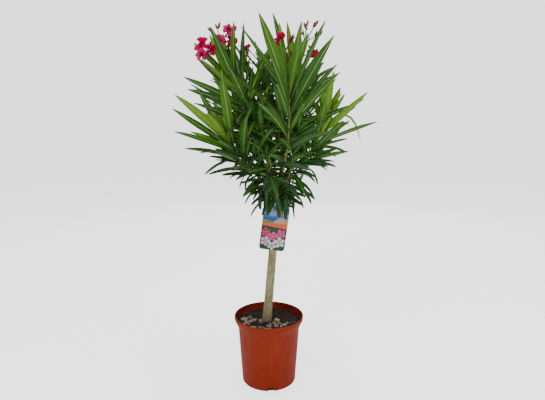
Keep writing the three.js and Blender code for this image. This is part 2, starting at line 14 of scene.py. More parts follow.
import bpy
import numpy as np
from bpy.types import GeometryNodeTree, ID, Material, Node, NodeSocket, NodeTree, Object
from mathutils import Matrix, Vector, noise

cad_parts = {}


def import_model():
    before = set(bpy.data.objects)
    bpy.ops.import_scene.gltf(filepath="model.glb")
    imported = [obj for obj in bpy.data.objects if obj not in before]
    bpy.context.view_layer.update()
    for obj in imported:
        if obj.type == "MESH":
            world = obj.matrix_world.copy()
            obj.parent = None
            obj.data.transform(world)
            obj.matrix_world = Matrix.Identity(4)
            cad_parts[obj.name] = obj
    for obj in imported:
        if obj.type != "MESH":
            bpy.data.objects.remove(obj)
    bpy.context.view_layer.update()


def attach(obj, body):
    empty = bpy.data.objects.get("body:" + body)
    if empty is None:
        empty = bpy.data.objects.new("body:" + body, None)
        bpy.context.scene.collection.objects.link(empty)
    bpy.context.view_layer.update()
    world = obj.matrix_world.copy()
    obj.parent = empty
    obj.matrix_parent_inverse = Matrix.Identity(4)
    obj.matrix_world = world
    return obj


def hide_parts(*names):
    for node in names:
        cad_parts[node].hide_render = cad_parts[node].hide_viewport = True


MM = 0.001
UP = np.array((0.0, 0.0, 1.0))
EAST = np.array((1.0, 0.0, 0.0))
BACK = np.array((0.0, 1.0, 0.0))
GOLDEN = 137.5

Vec = np.ndarray
Colour = tuple[float, float, float, float]
Face = tuple[int, ...]
Finishes = Sequence[Material]
NodePlace = tuple[Vec, Vec, Vec]
Look = tuple[NodeSocket, NodeSocket]

log = logging.getLogger("oleander")


# ---- numbers and directions ----


def seeded(seed: int) -> Callable[[], float]:
    """Make a repeatable run of numbers, the same one that the solids grow by.

    Args:
        seed: The whole number that starts the run.

    Returns:
        A function that gives the next number from 0 to 1.
    """
    state = seed & 0xFFFFFFFF

    def draw() -> float:
        """Step the run on and return its next number.

        Returns:
            The number, from 0 to 1.
        """
        nonlocal state
        state = (state * 1664525 + 1013904223) & 0xFFFFFFFF
        return state / 4294967296

    for _ in range(3):
        draw()
    return draw


def lerp(low: float, high: float, share: float) -> float:
    """Return the value that lies a share of the way from low to high."""
    return low + (high - low) * share


def unit(vector: Vec) -> Vec:
    """Return the vector at length 1."""
    return vector / np.linalg.norm(vector)


def bearing(azimuth: float) -> Vec:
    """Return the level direction at an azimuth in degrees."""
    return np.array((math.cos(math.radians(azimuth)), math.sin(math.radians(azimuth)), 0.0))


def spun(vector: Vec, axis: Vec, degrees: float) -> Vec:
    """Turn a vector about an axis of length 1.

    Args:
        vector: The vector to turn.
        axis: The direction to turn about.
        degrees: How far, by the right-hand rule.

    Returns:
        The turned vector.
    """
    angle = math.radians(degrees)
    along = axis * float(np.dot(axis, vector)) * (1 - math.cos(angle))
    return vector * math.cos(angle) + np.cross(axis, vector) * math.sin(angle) + along


def tint(code: str) -> Colour:
    """Turn a colour written as six hexadecimal digits into linear values.

    Args:
        code: Red, green and blue, two digits each.

    Returns:
        Red, green, blue and an alpha of 1.
    """
    parts = [int(code[k : k + 2], 16) / 255 for k in (0, 2, 4)]
    linear = [p / 12.92 if p <= 0.04045 else ((p + 0.055) / 1.055) ** 2.4 for p in parts]
    return (*linear, 1.0)


@dataclass(frozen=True)
class Bow:
    """A curve set by three points: it starts at the first, leans to the second, ends at the third."""

    start: Vec
    knee: Vec
    end: Vec

    def point(self, share: float) -> Vec:
        """Return the point at a share of the curve."""
        rest = 1 - share
        return rest * rest * self.start + 2 * rest * share * self.knee + share * share * self.end

    def heading(self, share: float) -> Vec:
        """Return the direction of the curve at a share of it."""
        return unit((1 - share) * (self.knee - self.start) + share * (self.end - self.knee))

    def points(self, shares: Vec) -> Vec:
        """Return one row for each share of the curve.

        Args:
            shares: Shares of the curve.

        Returns:
            The points.
        """
        rest = (1 - shares)[:, None]
        share = shares[:, None]
        return rest**2 * self.start + 2 * rest * share * self.knee + share**2 * self.end

    def headings(self, shares: Vec) -> Vec:
        """Return the direction at each share of the curve, one row each.

        Args:
            shares: Shares of the curve.

        Returns:
            The directions, of length 1.
        """
        share = shares[:, None]
        rows = (1 - share) * (self.knee - self.start) + share * (self.end - self.knee)
        return rows / np.linalg.norm(rows, axis=1, keepdims=True)

    def length(self) -> float:
        """Return the length along the curve."""
        rows = self.points(np.linspace(0, 1, 201))
        return float(np.linalg.norm(np.diff(rows, axis=0), axis=1).sum())


# ---- meshes ----


def linked(name: str, data: ID) -> Object:
    """Make an object of a mesh, a camera or a light, and link it to the scene.

    Args:
        name: The object's name.
        data: What it shows.

    Returns:
        The new object.
    """
    made = bpy.data.objects.new(name, data)
    bpy.context.scene.collection.objects.link(made)
    return made


def ring_faces(rings: int, sides: int) -> list[Face]:
    """Join rings of points by four-sided faces, ring by ring.

    Args:
        rings: How many rings there are.
        sides: How many points each ring has.

    Returns:
        The faces, which look outwards where the rings run anticlockwise and rise.
    """
    return [
        (r * sides + k, r * sides + (k + 1) % sides, (r + 1) * sides + (k + 1) % sides, (r + 1) * sides + k)
        for r in range(rings - 1)
        for k in range(sides)
    ]


def grid_faces(deep: int, wide: int) -> list[Face]:
    """Join a grid of points, given row by row, by four-sided faces.

    Args:
        deep: How many rows there are.
        wide: How many points each row has.

    Returns:
        The faces, row by row.
    """
    return [
        (r * wide + c, (r + 1) * wide + c, (r + 1) * wide + c + 1, r * wide + c + 1)
        for r in range(deep - 1)
        for c in range(wide - 1)
    ]


class MeshDraft:
    """Gathers the points and faces of one piece, in millimetres, before its mesh is built."""

    def __init__(self) -> None:
        """Start with nothing in the piece."""
        self.points: list[Vec] = []
        self.faces: list[Face] = []
        self.slots: list[int] = []
        self.count = 0

    def add(self, points: Vec, faces: Iterable[Face], slots: int | Sequence[int] = 0) -> None:
        """Add one shape to the piece.

        Args:
            points: The shape's points, one row each.
            faces: Faces as indices into those points, facing outwards.
            slots: The material number of every face, or one number for them all.
        """
        moved = [tuple(self.count + index for index in face) for face in faces]
        self.points.append(points)
        self.faces.extend(moved)
        self.slots.extend([slots] * len(moved) if isinstance(slots, int) else slots)
        self.count += len(points)

    def build(self, name: str, materials: Sequence[Material], smooth: bool = True) -> Object:
        """Make the piece's object, with its place in its mesh.

        Args:
            name: The piece's name.
            materials: Its materials, in the order of the material numbers.
            smooth: Whether faces are shaded smoothly.

        Returns:
            The new object, linked to the scene.
        """
        mesh = bpy.data.meshes.new(name)
        mesh.from_pydata((np.vstack(self.points) * MM).tolist(), [], self.faces)
        mesh.polygons.foreach_set("material_index", self.slots)
        mesh.polygons.foreach_set("use_smooth", [smooth] * len(self.faces))
        for material in materials:
            mesh.materials.append(material)
        mesh.validate()
        return linked(name, mesh)


def tube(path: Vec, radii: Sequence[float], sides: int, pointed: bool = False) -> tuple[Vec, list[Face]]:
    """Make a round limb along a path, closed at both ends.

    Args:
        path: Points along the middle, one row each.
        radii: The radius at each point.
        sides: How many sides the limb has.
        pointed: Whether it draws in to a point at its far end.

    Returns:
        The limb's points and its faces.
    """
    steps = np.gradient(path, axis=0)
    steps /= np.linalg.norm(steps, axis=1, keepdims=True)
    side = unit(np.cross(steps[0], UP if abs(steps[0][2]) < 0.95 else EAST))
    angles = 2 * math.pi * np.arange(sides) / sides
    rows = []
    for centre, along, radius in zip(path, steps, radii):
        side = unit(side - along * float(np.dot(side, along)))
        over = np.cross(along, side)
        rows.append(centre + radius * (np.outer(np.cos(angles), side) + np.outer(np.sin(angles), over)))
    faces = ring_faces(len(path), sides)
    faces.append(tuple(range(sides - 1, -1, -1)))
    last = (len(path) - 1) * sides
    if pointed:
        rows.append((path[-1] + steps[-1] * radii[-1] * 1.5)[None, :])
        faces.extend((last + k, last + (k + 1) % sides, last + sides) for k in range(sides))
    else:
        faces.append(tuple(range(last, last + sides)))
    return np.vstack(rows), faces


def settle(piece: Object, nodes: Iterable[str] = ()) -> Object:
    """Place a finished piece on the plant's one body.

    Args:
        piece: The piece.
        nodes: Names of the solids that it stands for.

    Returns:
        The same piece.
    """
    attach(piece, "root")
    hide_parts(*nodes)
    log.info("%s: %d faces", piece.name, len(piece.data.polygons))
    return piece


# ---- materials ----


class NodeBench:
    """A node tree with short calls for adding nodes and feeding their sockets."""

    def __init__(self, tree: NodeTree) -> None:
        """Take the tree to work on."""
        self.tree = tree

    def add(self, kind: str, feeds: dict[str | int, object] | None = None, **settings: object) -> Node:
        """Add a node.

        Args:
            kind: The node's type.
            feeds: What goes into its inputs, by their names or numbers.
            **settings: Its other settings.

        Returns:
            The node.
        """
        node = self.tree.nodes.new(kind)
        for key, value in settings.items():
            setattr(node, key, value)
        for socket, value in (feeds or {}).items():
            self.feed(node.inputs[socket], value)
        return node

    def feed(self, socket: NodeSocket, value: object) -> None:
        """Link a socket to another one, or give it a plain value.

        Args:
            socket: The socket to feed.
            value: Another socket, or a plain value.
        """
        if isinstance(value, NodeSocket):
            self.tree.links.new(value, socket)
        else:
            socket.default_value = value

    def maths(self, operation: str, first: object, second: object = 0.0, third: object = 0.0) -> NodeSocket:
        """Add a Math node and return its result.

        Args:
            operation: What the node does.
            first: Its first number or socket.
            second: Its second one.
            third: Its third one.

        Returns:
            The result's socket.
        """
        node = self.add("ShaderNodeMath", operation=operation)
        for socket, value in zip(node.inputs, (first, second, third)):
            self.feed(socket, value)
        return node.outputs[0]

    def ranged(self, value: object, low: float, high: float, to_low: float, to_high: float) -> NodeSocket:
        """Stretch a value from one range to another, held at its ends.

        Args:
            value: The value to stretch.
            low: The lower end of its range.
            high: The upper end of its range.
            to_low: What the lower end becomes.
            to_high: What the upper end becomes.

        Returns:
            The result's socket.
        """
        node = self.add("ShaderNodeMapRange")
        for socket, given in zip(node.inputs, (value, low, high, to_low, to_high)):
            self.feed(socket, given)
        return node.outputs[0]

    def blend(self, share: object, first: object, second: object) -> NodeSocket:
        """Mix two colours and return the result.

        Args:
            share: How much of the second colour shows, from 0 to 1.
            first: The first colour.
            second: The second colour.

        Returns:
            The result's socket.
        """
        node = self.add("ShaderNodeMix", data_type="RGBA")
        for index, value in ((0, share), (6, first), (7, second)):
            self.feed(node.inputs[index], value)
        return node.outputs[2]

    def group(self, tree: NodeTree, **values: object) -> Node:
        """Place a node group and feed its named inputs.

        Args:
            tree: The group's tree.
            **values: What goes into its inputs, by their names.

        Returns:
            The group's node.
        """
        node = self.add("ShaderNodeGroup")
        node.node_tree = tree
        for name, value in values.items():
            self.feed(node.inputs[name], value)
        return node


def shader_group(
    name: str, inputs: dict[str, str], outputs: dict[str, str], fill: Callable[[NodeBench, Node, Node], None]
) -> NodeTree:
    """Build a shader node group once.

    Args:
        name: The group's name.
        inputs: Each input's name and socket kind.
        outputs: Each output's name and socket kind.
        fill: Adds the nodes between the group's input and output nodes.

    Returns:
        The group's tree.
    """
    if name in bpy.data.node_groups:
        return bpy.data.node_groups[name]
    tree = bpy.data.node_groups.new(name, "ShaderNodeTree")
    for way, sockets in (("INPUT", inputs), ("OUTPUT", outputs)):
        for label, kind in sockets.items():
            tree.interface.new_socket(label, in_out=way, socket_type=f"NodeSocket{kind}")
    bench = NodeBench(tree)
    fill(bench, bench.add("NodeGroupInput"), bench.add("NodeGroupOutput"))
    return tree


def fine_grain() -> NodeTree:
    """Return the group of soft mottling: a tone and a height that wander over the surface.

    Returns:
        The group's tree, which makes a tone and a height from a place and a scale.
    """

    def fill(bench: NodeBench, given: Node, made: Node) -> None:
        """Add a broad and a fine noise and their mixture.

        Args:
            bench: The group's tree.
            given: The group's input node.
            made: The group's output node.
        """
        place, scale = given.outputs["Vector"], given.outputs["Scale"]
        coarse = bench.maths("MULTIPLY", scale, 0.12)
        broad = bench.add("ShaderNodeTexNoise", {"Vector": place, "Scale": coarse})
        fine = bench.add("ShaderNodeTexNoise", {"Vector": place, "Scale": scale, "Detail": 5})
        part = bench.maths("MULTIPLY", fine.outputs[0], 0.45)
        both = bench.maths("MULTIPLY_ADD", broad.outputs[0], 0.55, part)
        bench.feed(made.inputs["Tone"], bench.ranged(both, 0.38, 0.62, 0, 1))
        bench.feed(made.inputs["Height"], fine.outputs[0])

    inputs = {"Vector": "Vector", "Scale": "Float"}
    return shader_group("fine grain", inputs, {"Tone": "Float", "Height": "Float"}, fill)


def specks() -> NodeTree:
    """Return the group of scattered specks: a mask of small round spots.

    Returns:
        The group's tree, which makes a mask from a place, a scale and a cover.
    """

    def fill(bench: NodeBench, given: Node, made: Node) -> None:
        """Keep the cells of a cell pattern that a coarse noise picks, near their middles.

        Args:
            bench: The group's tree.
            given: The group's input node.
            made: The group's output node.
        """
        place, scale = given.outputs["Vector"], given.outputs["Scale"]
        cells = bench.add("ShaderNodeTexVoronoi", {"Vector": place, "Scale": scale})
        split = bench.add("ShaderNodeSeparateColor", {0: cells.outputs["Color"]})
        picked = bench.maths("LESS_THAN", split.outputs[0], given.outputs["Cover"])
        near = bench.ranged(cells.outputs["Distance"], 0.14, 0.32, 1, 0)
        bench.feed(made.inputs["Mask"], bench.maths("MULTIPLY", picked, near))

    inputs = {"Vector": "Vector", "Scale": "Float", "Cover": "Float"}
    return shader_group("scattered specks", inputs, {"Mask": "Float"}, fill)


@dataclass(frozen=True)
class Finish:
    """A surface with a soft mottling of two colours, a sheen and a slight relief in millimetres."""

    name: str
    colour: str
    second: str
    rough: tuple[float, float] = (0.5, 0.6)
    scale: float = 160.0
    relief: float = 0.2
    stretch: tuple[float, float, float] = (1.0, 1.0, 1.0)
    specular: float = 0.5

    def material(self) -> Material:
        """Build the material.

        Returns:
            The new material, with its node tree.
        """
        material = bpy.data.materials.new(self.name)
        material.use_nodes = True
        material.diffuse_color = tint(self.colour)
        bench = NodeBench(material.node_tree)
        shader = material.node_tree.nodes["Principled BSDF"]
        shader.inputs["Specular IOR Level"].default_value = self.specular
        place = bench.add("ShaderNodeTexCoord")
        mapped = bench.add("ShaderNodeMapping", {"Vector": place.outputs["Object"], "Scale": self.stretch})
        grain = bench.group(fine_grain(), Vector=mapped.outputs["Vector"], Scale=self.scale)
        colour = bench.blend(grain.outputs["Tone"], tint(self.colour), tint(self.second))
        colour, height = self._detail(bench, place, colour, grain.outputs["Height"])
        bench.feed(shader.inputs["Base Color"], colour)
        bench.feed(shader.inputs["Roughness"], bench.ranged(grain.outputs["Tone"], 0, 1, *self.rough))
        bump = bench.add("ShaderNodeBump", {"Distance": self.relief * MM, "Height": height})
        bench.feed(shader.inputs["Normal"], bump.outputs["Normal"])
        return material

    def _detail(self, bench: NodeBench, place: Node, colour: NodeSocket, height: NodeSocket) -> Look:
        """Return the colour and the height with the surface's own detail; here there is none."""
        return colour, height


@dataclass(frozen=True)
class Bark(Finish):
    """Smooth bark that changes from foot to top, with small pale breathing pores."""

    foot: str = "6d5a42"
    top: str = "7f8f4f"
    levels: tuple[float, float, float, float] = (172.0, 200.0, 330.0, 520.0)
    pores: str = "c9c2a2"

    def _detail(self, bench: NodeBench, place: Node, colour: NodeSocket, height: NodeSocket) -> Look:
        """Return the colour by level with the pores, and the height with their bumps.

        Args:
            bench: The material's tree.
            place: The node that gives places on the surface.
            colour: The colour so far.
            height: The height so far.

        Returns:
            The new colour and the new height.
        """
        split = bench.add("ShaderNodeSeparateXYZ", {0: place.outputs["Object"]})
        low, rise, start, end = (level * MM for level in self.levels)
        colour = bench.blend(bench.ranged(split.outputs["Z"], low, rise, 0.85, 0), colour, tint(self.foot))
        colour = bench.blend(bench.ranged(split.outputs["Z"], start, end, 0, 0.6), colour, tint(self.top))
        squeeze = bench.add("ShaderNodeMapping", {"Vector": place.outputs["Object"], "Scale": (1, 1, 1.7)})
        pores = bench.group(specks(), Vector=squeeze.outputs["Vector"], Scale=330.0, Cover=0.34)
        mask = bench.maths("MULTIPLY", pores.outputs["Mask"], 0.5)
        dark = bench.group(specks(), Vector=place.outputs["Object"], Scale=210.0, Cover=0.2)
        colour = bench.blend(bench.maths("MULTIPLY", dark.outputs["Mask"], 0.45), colour, tint("4d4a30"))
        return bench.blend(mask, colour, tint(self.pores)), bench.maths("MULTIPLY_ADD", mask, 0.8, height)


@dataclass(frozen=True)
class PotPlastic(Finish):
    """Moulded plastic with scuffs and a few specks of soil."""

    def _detail(self, bench: NodeBench, place: Node, colour: NodeSocket, height: NodeSocket) -> Look:
        """Return the colour with soil specks and pale scuffs.

        Args:
            bench: The material's tree.
            place: The node that gives places on the surface.
            colour: The colour so far.
            height: The height so far.

        Returns:
            The new colour and the new height.
        """
        soil = bench.group(specks(), Vector=place.outputs["Object"], Scale=62.0, Cover=0.07)
        rub = bench.add("ShaderNodeMapping", {"Vector": place.outputs["Object"], "Scale": (30, 30, 7)})
        scuff = bench.add("ShaderNodeTexNoise", {"Vector": rub.outputs["Vector"], "Scale": 1.0, "Detail": 6})
        worn = bench.ranged(scuff.outputs[0], 0.6, 0.78, 0, 0.35)
        colour = bench.blend(worn, colour, tint("c06a4c"))
        dirt = bench.maths("MULTIPLY", soil.outputs["Mask"], 0.55)
        return bench.blend(dirt, colour, tint("3a1a10")), height


@dataclass(frozen=True)
class Soil(Finish):
    """Moist potting mix: near black in its hollows, brown on its lumps."""

    def _detail(self, bench: NodeBench, place: Node, colour: NodeSocket, height: NodeSocket) -> Look:
        """Return the colour with brown fibres and pale grains.

        Args:
            bench: The material's tree.
            place: The node that gives places on the surface.
            colour: The colour so far.
            height: The height so far.

        Returns:
            The new colour and the new height.
        """
        brown = bench.group(specks(), Vector=place.outputs["Object"], Scale=240.0, Cover=0.3)
        pale = bench.group(specks(), Vector=place.outputs["Object"], Scale=420.0, Cover=0.06)
        colour = bench.blend(bench.maths("MULTIPLY", brown.outputs["Mask"], 0.7), colour, tint("4a2c18"))
        return bench.blend(bench.maths("MULTIPLY", pale.outputs["Mask"], 0.7), colour, tint("8a7c66")), height


# ---- how the plant grows ----


@dataclass(frozen=True)
class Habit:
    """The sizes that one sort of shoot grows by; angles are in degrees from its stem."""

    whorls: int
    bare: float
    leaf: float
    slim: float
    least: float
    seek: float
    stem: float
    tip_open: float
    base_open: float
    tip_bend: float
    base_bend: float


class ShootKind(Enum):
    """The sorts of shoot on the plant."""

    LEADER = Habit(8, 0.26, 205, 0.122, 0.6, 0.3, 3.5, 14, 58, 6, 22)
    SIDE = Habit(7, 0.36, 195, 0.122, 0.5, 0.55, 3.1, 16, 52, 6, 22)
    LOW = Habit(6, 0.34, 118, 0.14, 0.75, 0.3, 2.6, 32, 95, 35, 60)
    SKIRT = Habit(3, 0.42, 80, 0.165, 0.7, 0.1, 2.1, 70, 126, 38, 24)
    TWIG = Habit(4, 0.3, 112, 0.115, 0.7, 0.4, 1.3, 24, 70, 10, 44)

    @property
    def tall(self) -> bool:
        """Return whether it is one of the big shoots that shape the top of the head."""
        return self in (ShootKind.LEADER, ShootKind.SIDE)


@dataclass(frozen=True)
class Shoot:
    """One shoot: where its tip stands from the head's top, and how it leaves the trunk."""

    name: str
    kind: ShootKind
    azimuth: float
    spread: float
    rise: float
    launch: float
    level: float
    root: float
    roll: float
    seed: int
    leaf: float | None = None

    @property
    def habit(self) -> Habit:
        """Return the sizes of the shoot's kind, with its own leaf length where it has one."""
        return replace(self.kind.value, leaf=self.leaf) if self.leaf else self.kind.value


class LeafTone(Enum):
    """Leaf colours by age and place: the upper side, the underside and the midrib. The dark, bluish tones
    that leaves low in the head take are partly their age and partly painted shade under the head.
    """

    YOUNG = ("629c08", "7aa830", "a6c860")
    FRESH = ("356e05", "568828", "a3c070")
    MATURE = ("265a0b", "48782c", "a8c080")
    DEEP = ("2a5a1c", "4a763a", "749656")
    SHADE = ("33592e", "52784c", "6a8c58")


@dataclass
class Leaf:
    """One leaf: its midrib, the direction across its blade, and its size."""

    REAR: ClassVar[float] = 60.0
    SIGHT: ClassVar[float] = 0.16
    EDGE_ON: ClassVar[float] = 0.3

    rib: Bow
    across: Vec
    length: float
    width: float
    age: float = 0.5
    tone: LeafTone = LeafTone.MATURE
    dry: bool = False
    fold: float = 0.3
    twist: float = 0.0
    roll: float = 0.0

    def half_width(self, shares: Vec) -> Vec:
        """Return half the blade's width at each share of its length.

        Args:
            shares: Shares of the leaf's length.

        Returns:
            The half widths.
        """
        neck = 0.08
        swell = np.sin(math.pi * np.minimum(1, shares) ** 0.9) ** (1.3 - 0.5 * shares)
        return self.width / 2 * np.maximum(neck, swell)

    def blade(self, shares: Vec) -> Vec:
        """Return half the width of the finished blade: fuller, and the blunter the shorter it is.

        Args:
            shares: Shares of the leaf's length.

        Returns:
            The half widths.
        """
        sharp = min(1.0, max(0.0, (self.length - 60) / 120))
        power = lerp(0.8, 1.15, sharp) - lerp(0.5, 0.42, sharp) * shares
        swell = np.sin(math.pi * np.minimum(1, shares) ** 0.95) ** power
        return self.width * lerp(0.56, 0.45, sharp) * np.maximum(0.08, swell)

    def turned(self, most: float) -> float:
        """Return the roll about the midrib that shows a level blade from its side of the plant.

        Args:
            most: The angle for a blade that lies level.

        Returns:
            The angle in degrees, small for a blade that stands upright.
        """
        heading = self.rib.heading(0.5)
        across = unit(self.across - heading * float(np.dot(heading, self.across)))
        above = np.cross(heading, across)
        level = float(above[2]) ** 2
        sight = unit((BACK if self.rib.end[1] < self.REAR else -BACK) - UP * self.SIGHT)

        def shown(angle: float) -> float:
            """Return the share of the blade that is seen from its side of the plant once rolled."""
            turn = math.radians(angle)
            return abs(float(np.dot(above * math.cos(turn) - across * math.sin(turn), sight)))

        gentle = max((most * level, -most * level), key=shown)
        return gentle if shown(gentle) > self.EDGE_ON else max((most, -most), key=shown)

    def cells(self, step: float) -> Vec:
        """Spread points over the blade and its keel, close enough for claiming the air it fills.

        Args:
            step: The spacing of the points.

        Returns:
            The points, from the leaf's root to its tip, one row each.
        """
        count = math.ceil(self.length / step)
        shares = lerp(0.08, 1, np.arange(count + 1) / count)
        half = self.half_width(shares)
        under = np.cross(self.across, self.rib.headings(shares))
        ways = np.ceil(half / step).astype(int)
        depth = np.minimum(max(self.length / 90, 1.2), half)
        rows = np.repeat(np.arange(count + 1), 2 * ways + 2)
        first = np.cumsum(2 * ways + 2) - (2 * ways + 2)
        place = np.arange(len(rows)) - first[rows]
        aside = np.where(place == 0, 0.0, half[rows] * (place - 1 - ways[rows]) / ways[rows])
        below = np.where(place == 0, depth[rows], 0.0)
        centre = self.rib.points(shares)[rows]
        return centre + aside[:, None] * self.across + below[:, None] * under[rows]


class Air:
    """Keeps the air round the plant in small cells, and who holds each of them."""

    CELL = 3.0
    STEP = 1.5
    ROOM = (320, 320, 400)
    OFFSET = np.array((160, 160, 10))

    def __init__(self) -> None:
        """Start with all the air free."""
        self.held = np.zeros(self.ROOM, dtype=np.int16)
        self.names: dict[str, int] = {}

    def _cells(self, points: Vec) -> tuple[Vec, Vec, Vec]:
        """Return the cell of each point as three lists of indices."""
        cells = np.floor(points / self.CELL + 0.5).astype(int) + self.OFFSET
        return cells[:, 0], cells[:, 1], cells[:, 2]

    def _number(self, holder: str) -> int:
        """Return the number that stands for a holder."""
        return self.names.setdefault(holder, len(self.names) + 1)

    def claim(self, points: Vec, holder: str) -> None:
        """Give a holder the cells under some points, where nobody holds them yet.

        Args:
            points: Places in the air.
            holder: Who is to hold them.
        """
        cells = self._cells(points)
        now = self.held[cells]
        self.held[cells] = np.where(now == 0, self._number(holder), now)

    def free(self, points: Vec, holder: str) -> bool:
        """Return whether the cells under the points are free or the holder's own."""
        now = self.held[self._cells(points)]
        return bool(np.all((now == 0) | (now == self._number(holder))))

    def crosses(self, points: Vec, holder: str) -> bool:
        """Return whether the outer part of a leaf would meet its own shoot's leaves."""
        outer = points[int(len(points) * 0.15) :]
        return bool(np.any(self.held[self._cells(outer)] == self._number(holder)))


class Trunk:
    """The trunk's own line and girth, and the mesh of its bark."""

    LINE = ((-6, 0, 170.3), (-1, 1, 225), (6, -1, 310), (11, 0, 375), (15, 0, 450), (17, 0, 540))
    TOP = np.array((17.0, 0.0, 540.0))
    FOOT = 170.0
    LOW_RADIUS = 11.3
    HIGH_RADIUS = 9.4
    HEAD_RADIUS = 11.4
    HEAD_HEIGHT = 34.0
    BARK_THICK = 1.0
    # Each layer of the bark's relief: its rise, how fast it changes round and along, and its shift.
    GRAIN = ((0.45, 1.6, 46, 0), (0.22, 5, 21, 7), (0.16, 9, 4.2, 0))
    # Old leaf scars: the height and the direction of each.
    SCARS = ((262, 250), (318, 20), (352, 300), (409, 170), (468, 90))

    def __init__(self) -> None:
        """Work out the trunk's line through its set points."""
        rows = [np.array(point, dtype=float) for point in self.LINE]
        ends = [2 * rows[0] - rows[1], *rows, 2 * rows[-1] - rows[-2]]
        self.samples = np.vstack([self._span(ends[k : k + 4]) for k in range(len(rows) - 1)])

    @staticmethod
    def _span(four: Sequence[Vec]) -> Vec:
        """Return points between the middle two of four points, on a smooth line through them all.

        Args:
            four: Four points of the line, in order.

        Returns:
            The points, one row each.
        """
        gaps = [float(np.linalg.norm(four[k + 1] - four[k])) ** 0.5 for k in range(3)]
        slopes = []
        for k in (1, 2):
            before, after = gaps[k - 1], gaps[k]
            rise = (four[k] - four[k - 1]) / before - (four[k + 1] - four[k - 1]) / (before + after)
            slopes.append((rise + (four[k + 1] - four[k]) / after) * gaps[1])
        share = np.linspace(0, 1, 60)[:, None]
        third = -3 * four[1] + 3 * four[2] - 2 * slopes[0] - slopes[1]
        fourth = 2 * four[1] - 2 * four[2] + slopes[0] + slopes[1]
        return four[1] + slopes[0] * share + third * share**2 + fourth * share**3

    def axis(self, height: float) -> Vec:
        """Return the middle of the trunk at a height.

        Args:
            height: The height.

        Returns:
            The point.
        """
        heights = self.samples[:, 2]
        aside = [float(np.interp(height, heights, self.samples[:, k])) for k in (0, 1)]
        return np.array((*aside, height))

    def radius(self, height: float) -> float:
        """Return the trunk's radius at a height, with its root flare and its swollen fork.

        Args:
            height: The height.

        Returns:
            The radius.
        """
        above = height - self.FOOT
        share = above / (self.TOP[2] - self.FOOT)
        flare = 2.4 * math.exp(-above / 14)
        rise = (height - (self.TOP[2] - self.HEAD_HEIGHT)) / (self.HEAD_HEIGHT - 8)
        rise = min(1.0, max(0.0, rise))
        swell = rise * rise * (3 - 2 * rise)
        plain = lerp(self.LOW_RADIUS, self.HIGH_RADIUS, min(1.0, share * 1.1))
        return plain + flare + (self.HEAD_RADIUS - self.HIGH_RADIUS) * swell

    def build(self, bark: Material) -> Object:
        """Make the bark as a mesh with its own relief.

        Args:
            bark: The material of the bark.

        Returns:
            The finished piece.
        """
        sides, rings, sunk = 48, 210, 5.0
        heights = np.linspace(self.FOOT - sunk, self.TOP[2], rings)
        rows = []
        for height in heights:
            centre = self.axis(max(height, self.LINE[0][2]))
            centre[2] = height
            ring = []
            for k in range(sides):
                out = bearing(360 * k / sides)
                reach = self.BARK_THICK + self.radius(max(height, self.FOOT)) + self._relief(out, height)
                ring.append(centre + out * reach)
            rows.append(np.array(ring))
        for lift, share in ((2.2, 0.86), (3.9, 0.62), (4.7, 0.3)):
            rows.append(self.TOP + (rows[rings - 1] - self.TOP) * share + UP * lift)
        faces = ring_faces(len(rows), sides)
        faces.append(tuple(range(sides - 1, -1, -1)))
        faces.append(tuple(range((len(rows) - 1) * sides, len(rows) * sides)))
        draft = MeshDraft()
        draft.add(np.vstack(rows), faces)
        return settle(draft.build("trunk_bark", [bark]), ["trunk"])

    def _relief(self, out: Vec, height: float) -> float:
        """Return how far the bark stands out of the plain trunk, in a direction at a height.

        Args:
            out: The level direction from the trunk's middle.
            height: The height.

        Returns:
            The bark's rise in millimetres.
        """
        grain = sum(
            rise * noise.noise(Vector((out[0] * around, out[1] * around, height / along + shift)))
            for rise, around, along, shift in self.GRAIN
        )
        roots = 1.5 * max(0.0, noise.noise(Vector((out[0] * 2.2, out[1] * 2.2, 3.1))))
        scars = sum(
            0.8 * math.exp(-(((height - level) / 5) ** 2)) * max(0.0, float(np.dot(out, bearing(way)))) ** 6
            for level, way in self.SCARS
        )
        return grain + scars + roots * math.exp(-(height - self.FOOT) / 9)


# What is tried when a leaf meets something: a further turn about its stem and a share of its length.
TRIES = (
    (0, 1), (12, 1), (-12, 1), (24, 1), (-24, 1), (0, 0.85), (16, 0.8), (-16, 0.8),
    (30, 0.75), (-30, 0.75), (8, 0.6), (-22, 0.6), (45, 0.6),
)  # fmt: skip


# How far a leaf's place, opening, length, bend and twist swing either way of the rule's own.
TURN_SWING, OPEN_SWING, LENGTH_SWING, BEND_SWING, TWIST_SWING = 12, 9, 0.12, 9, 12


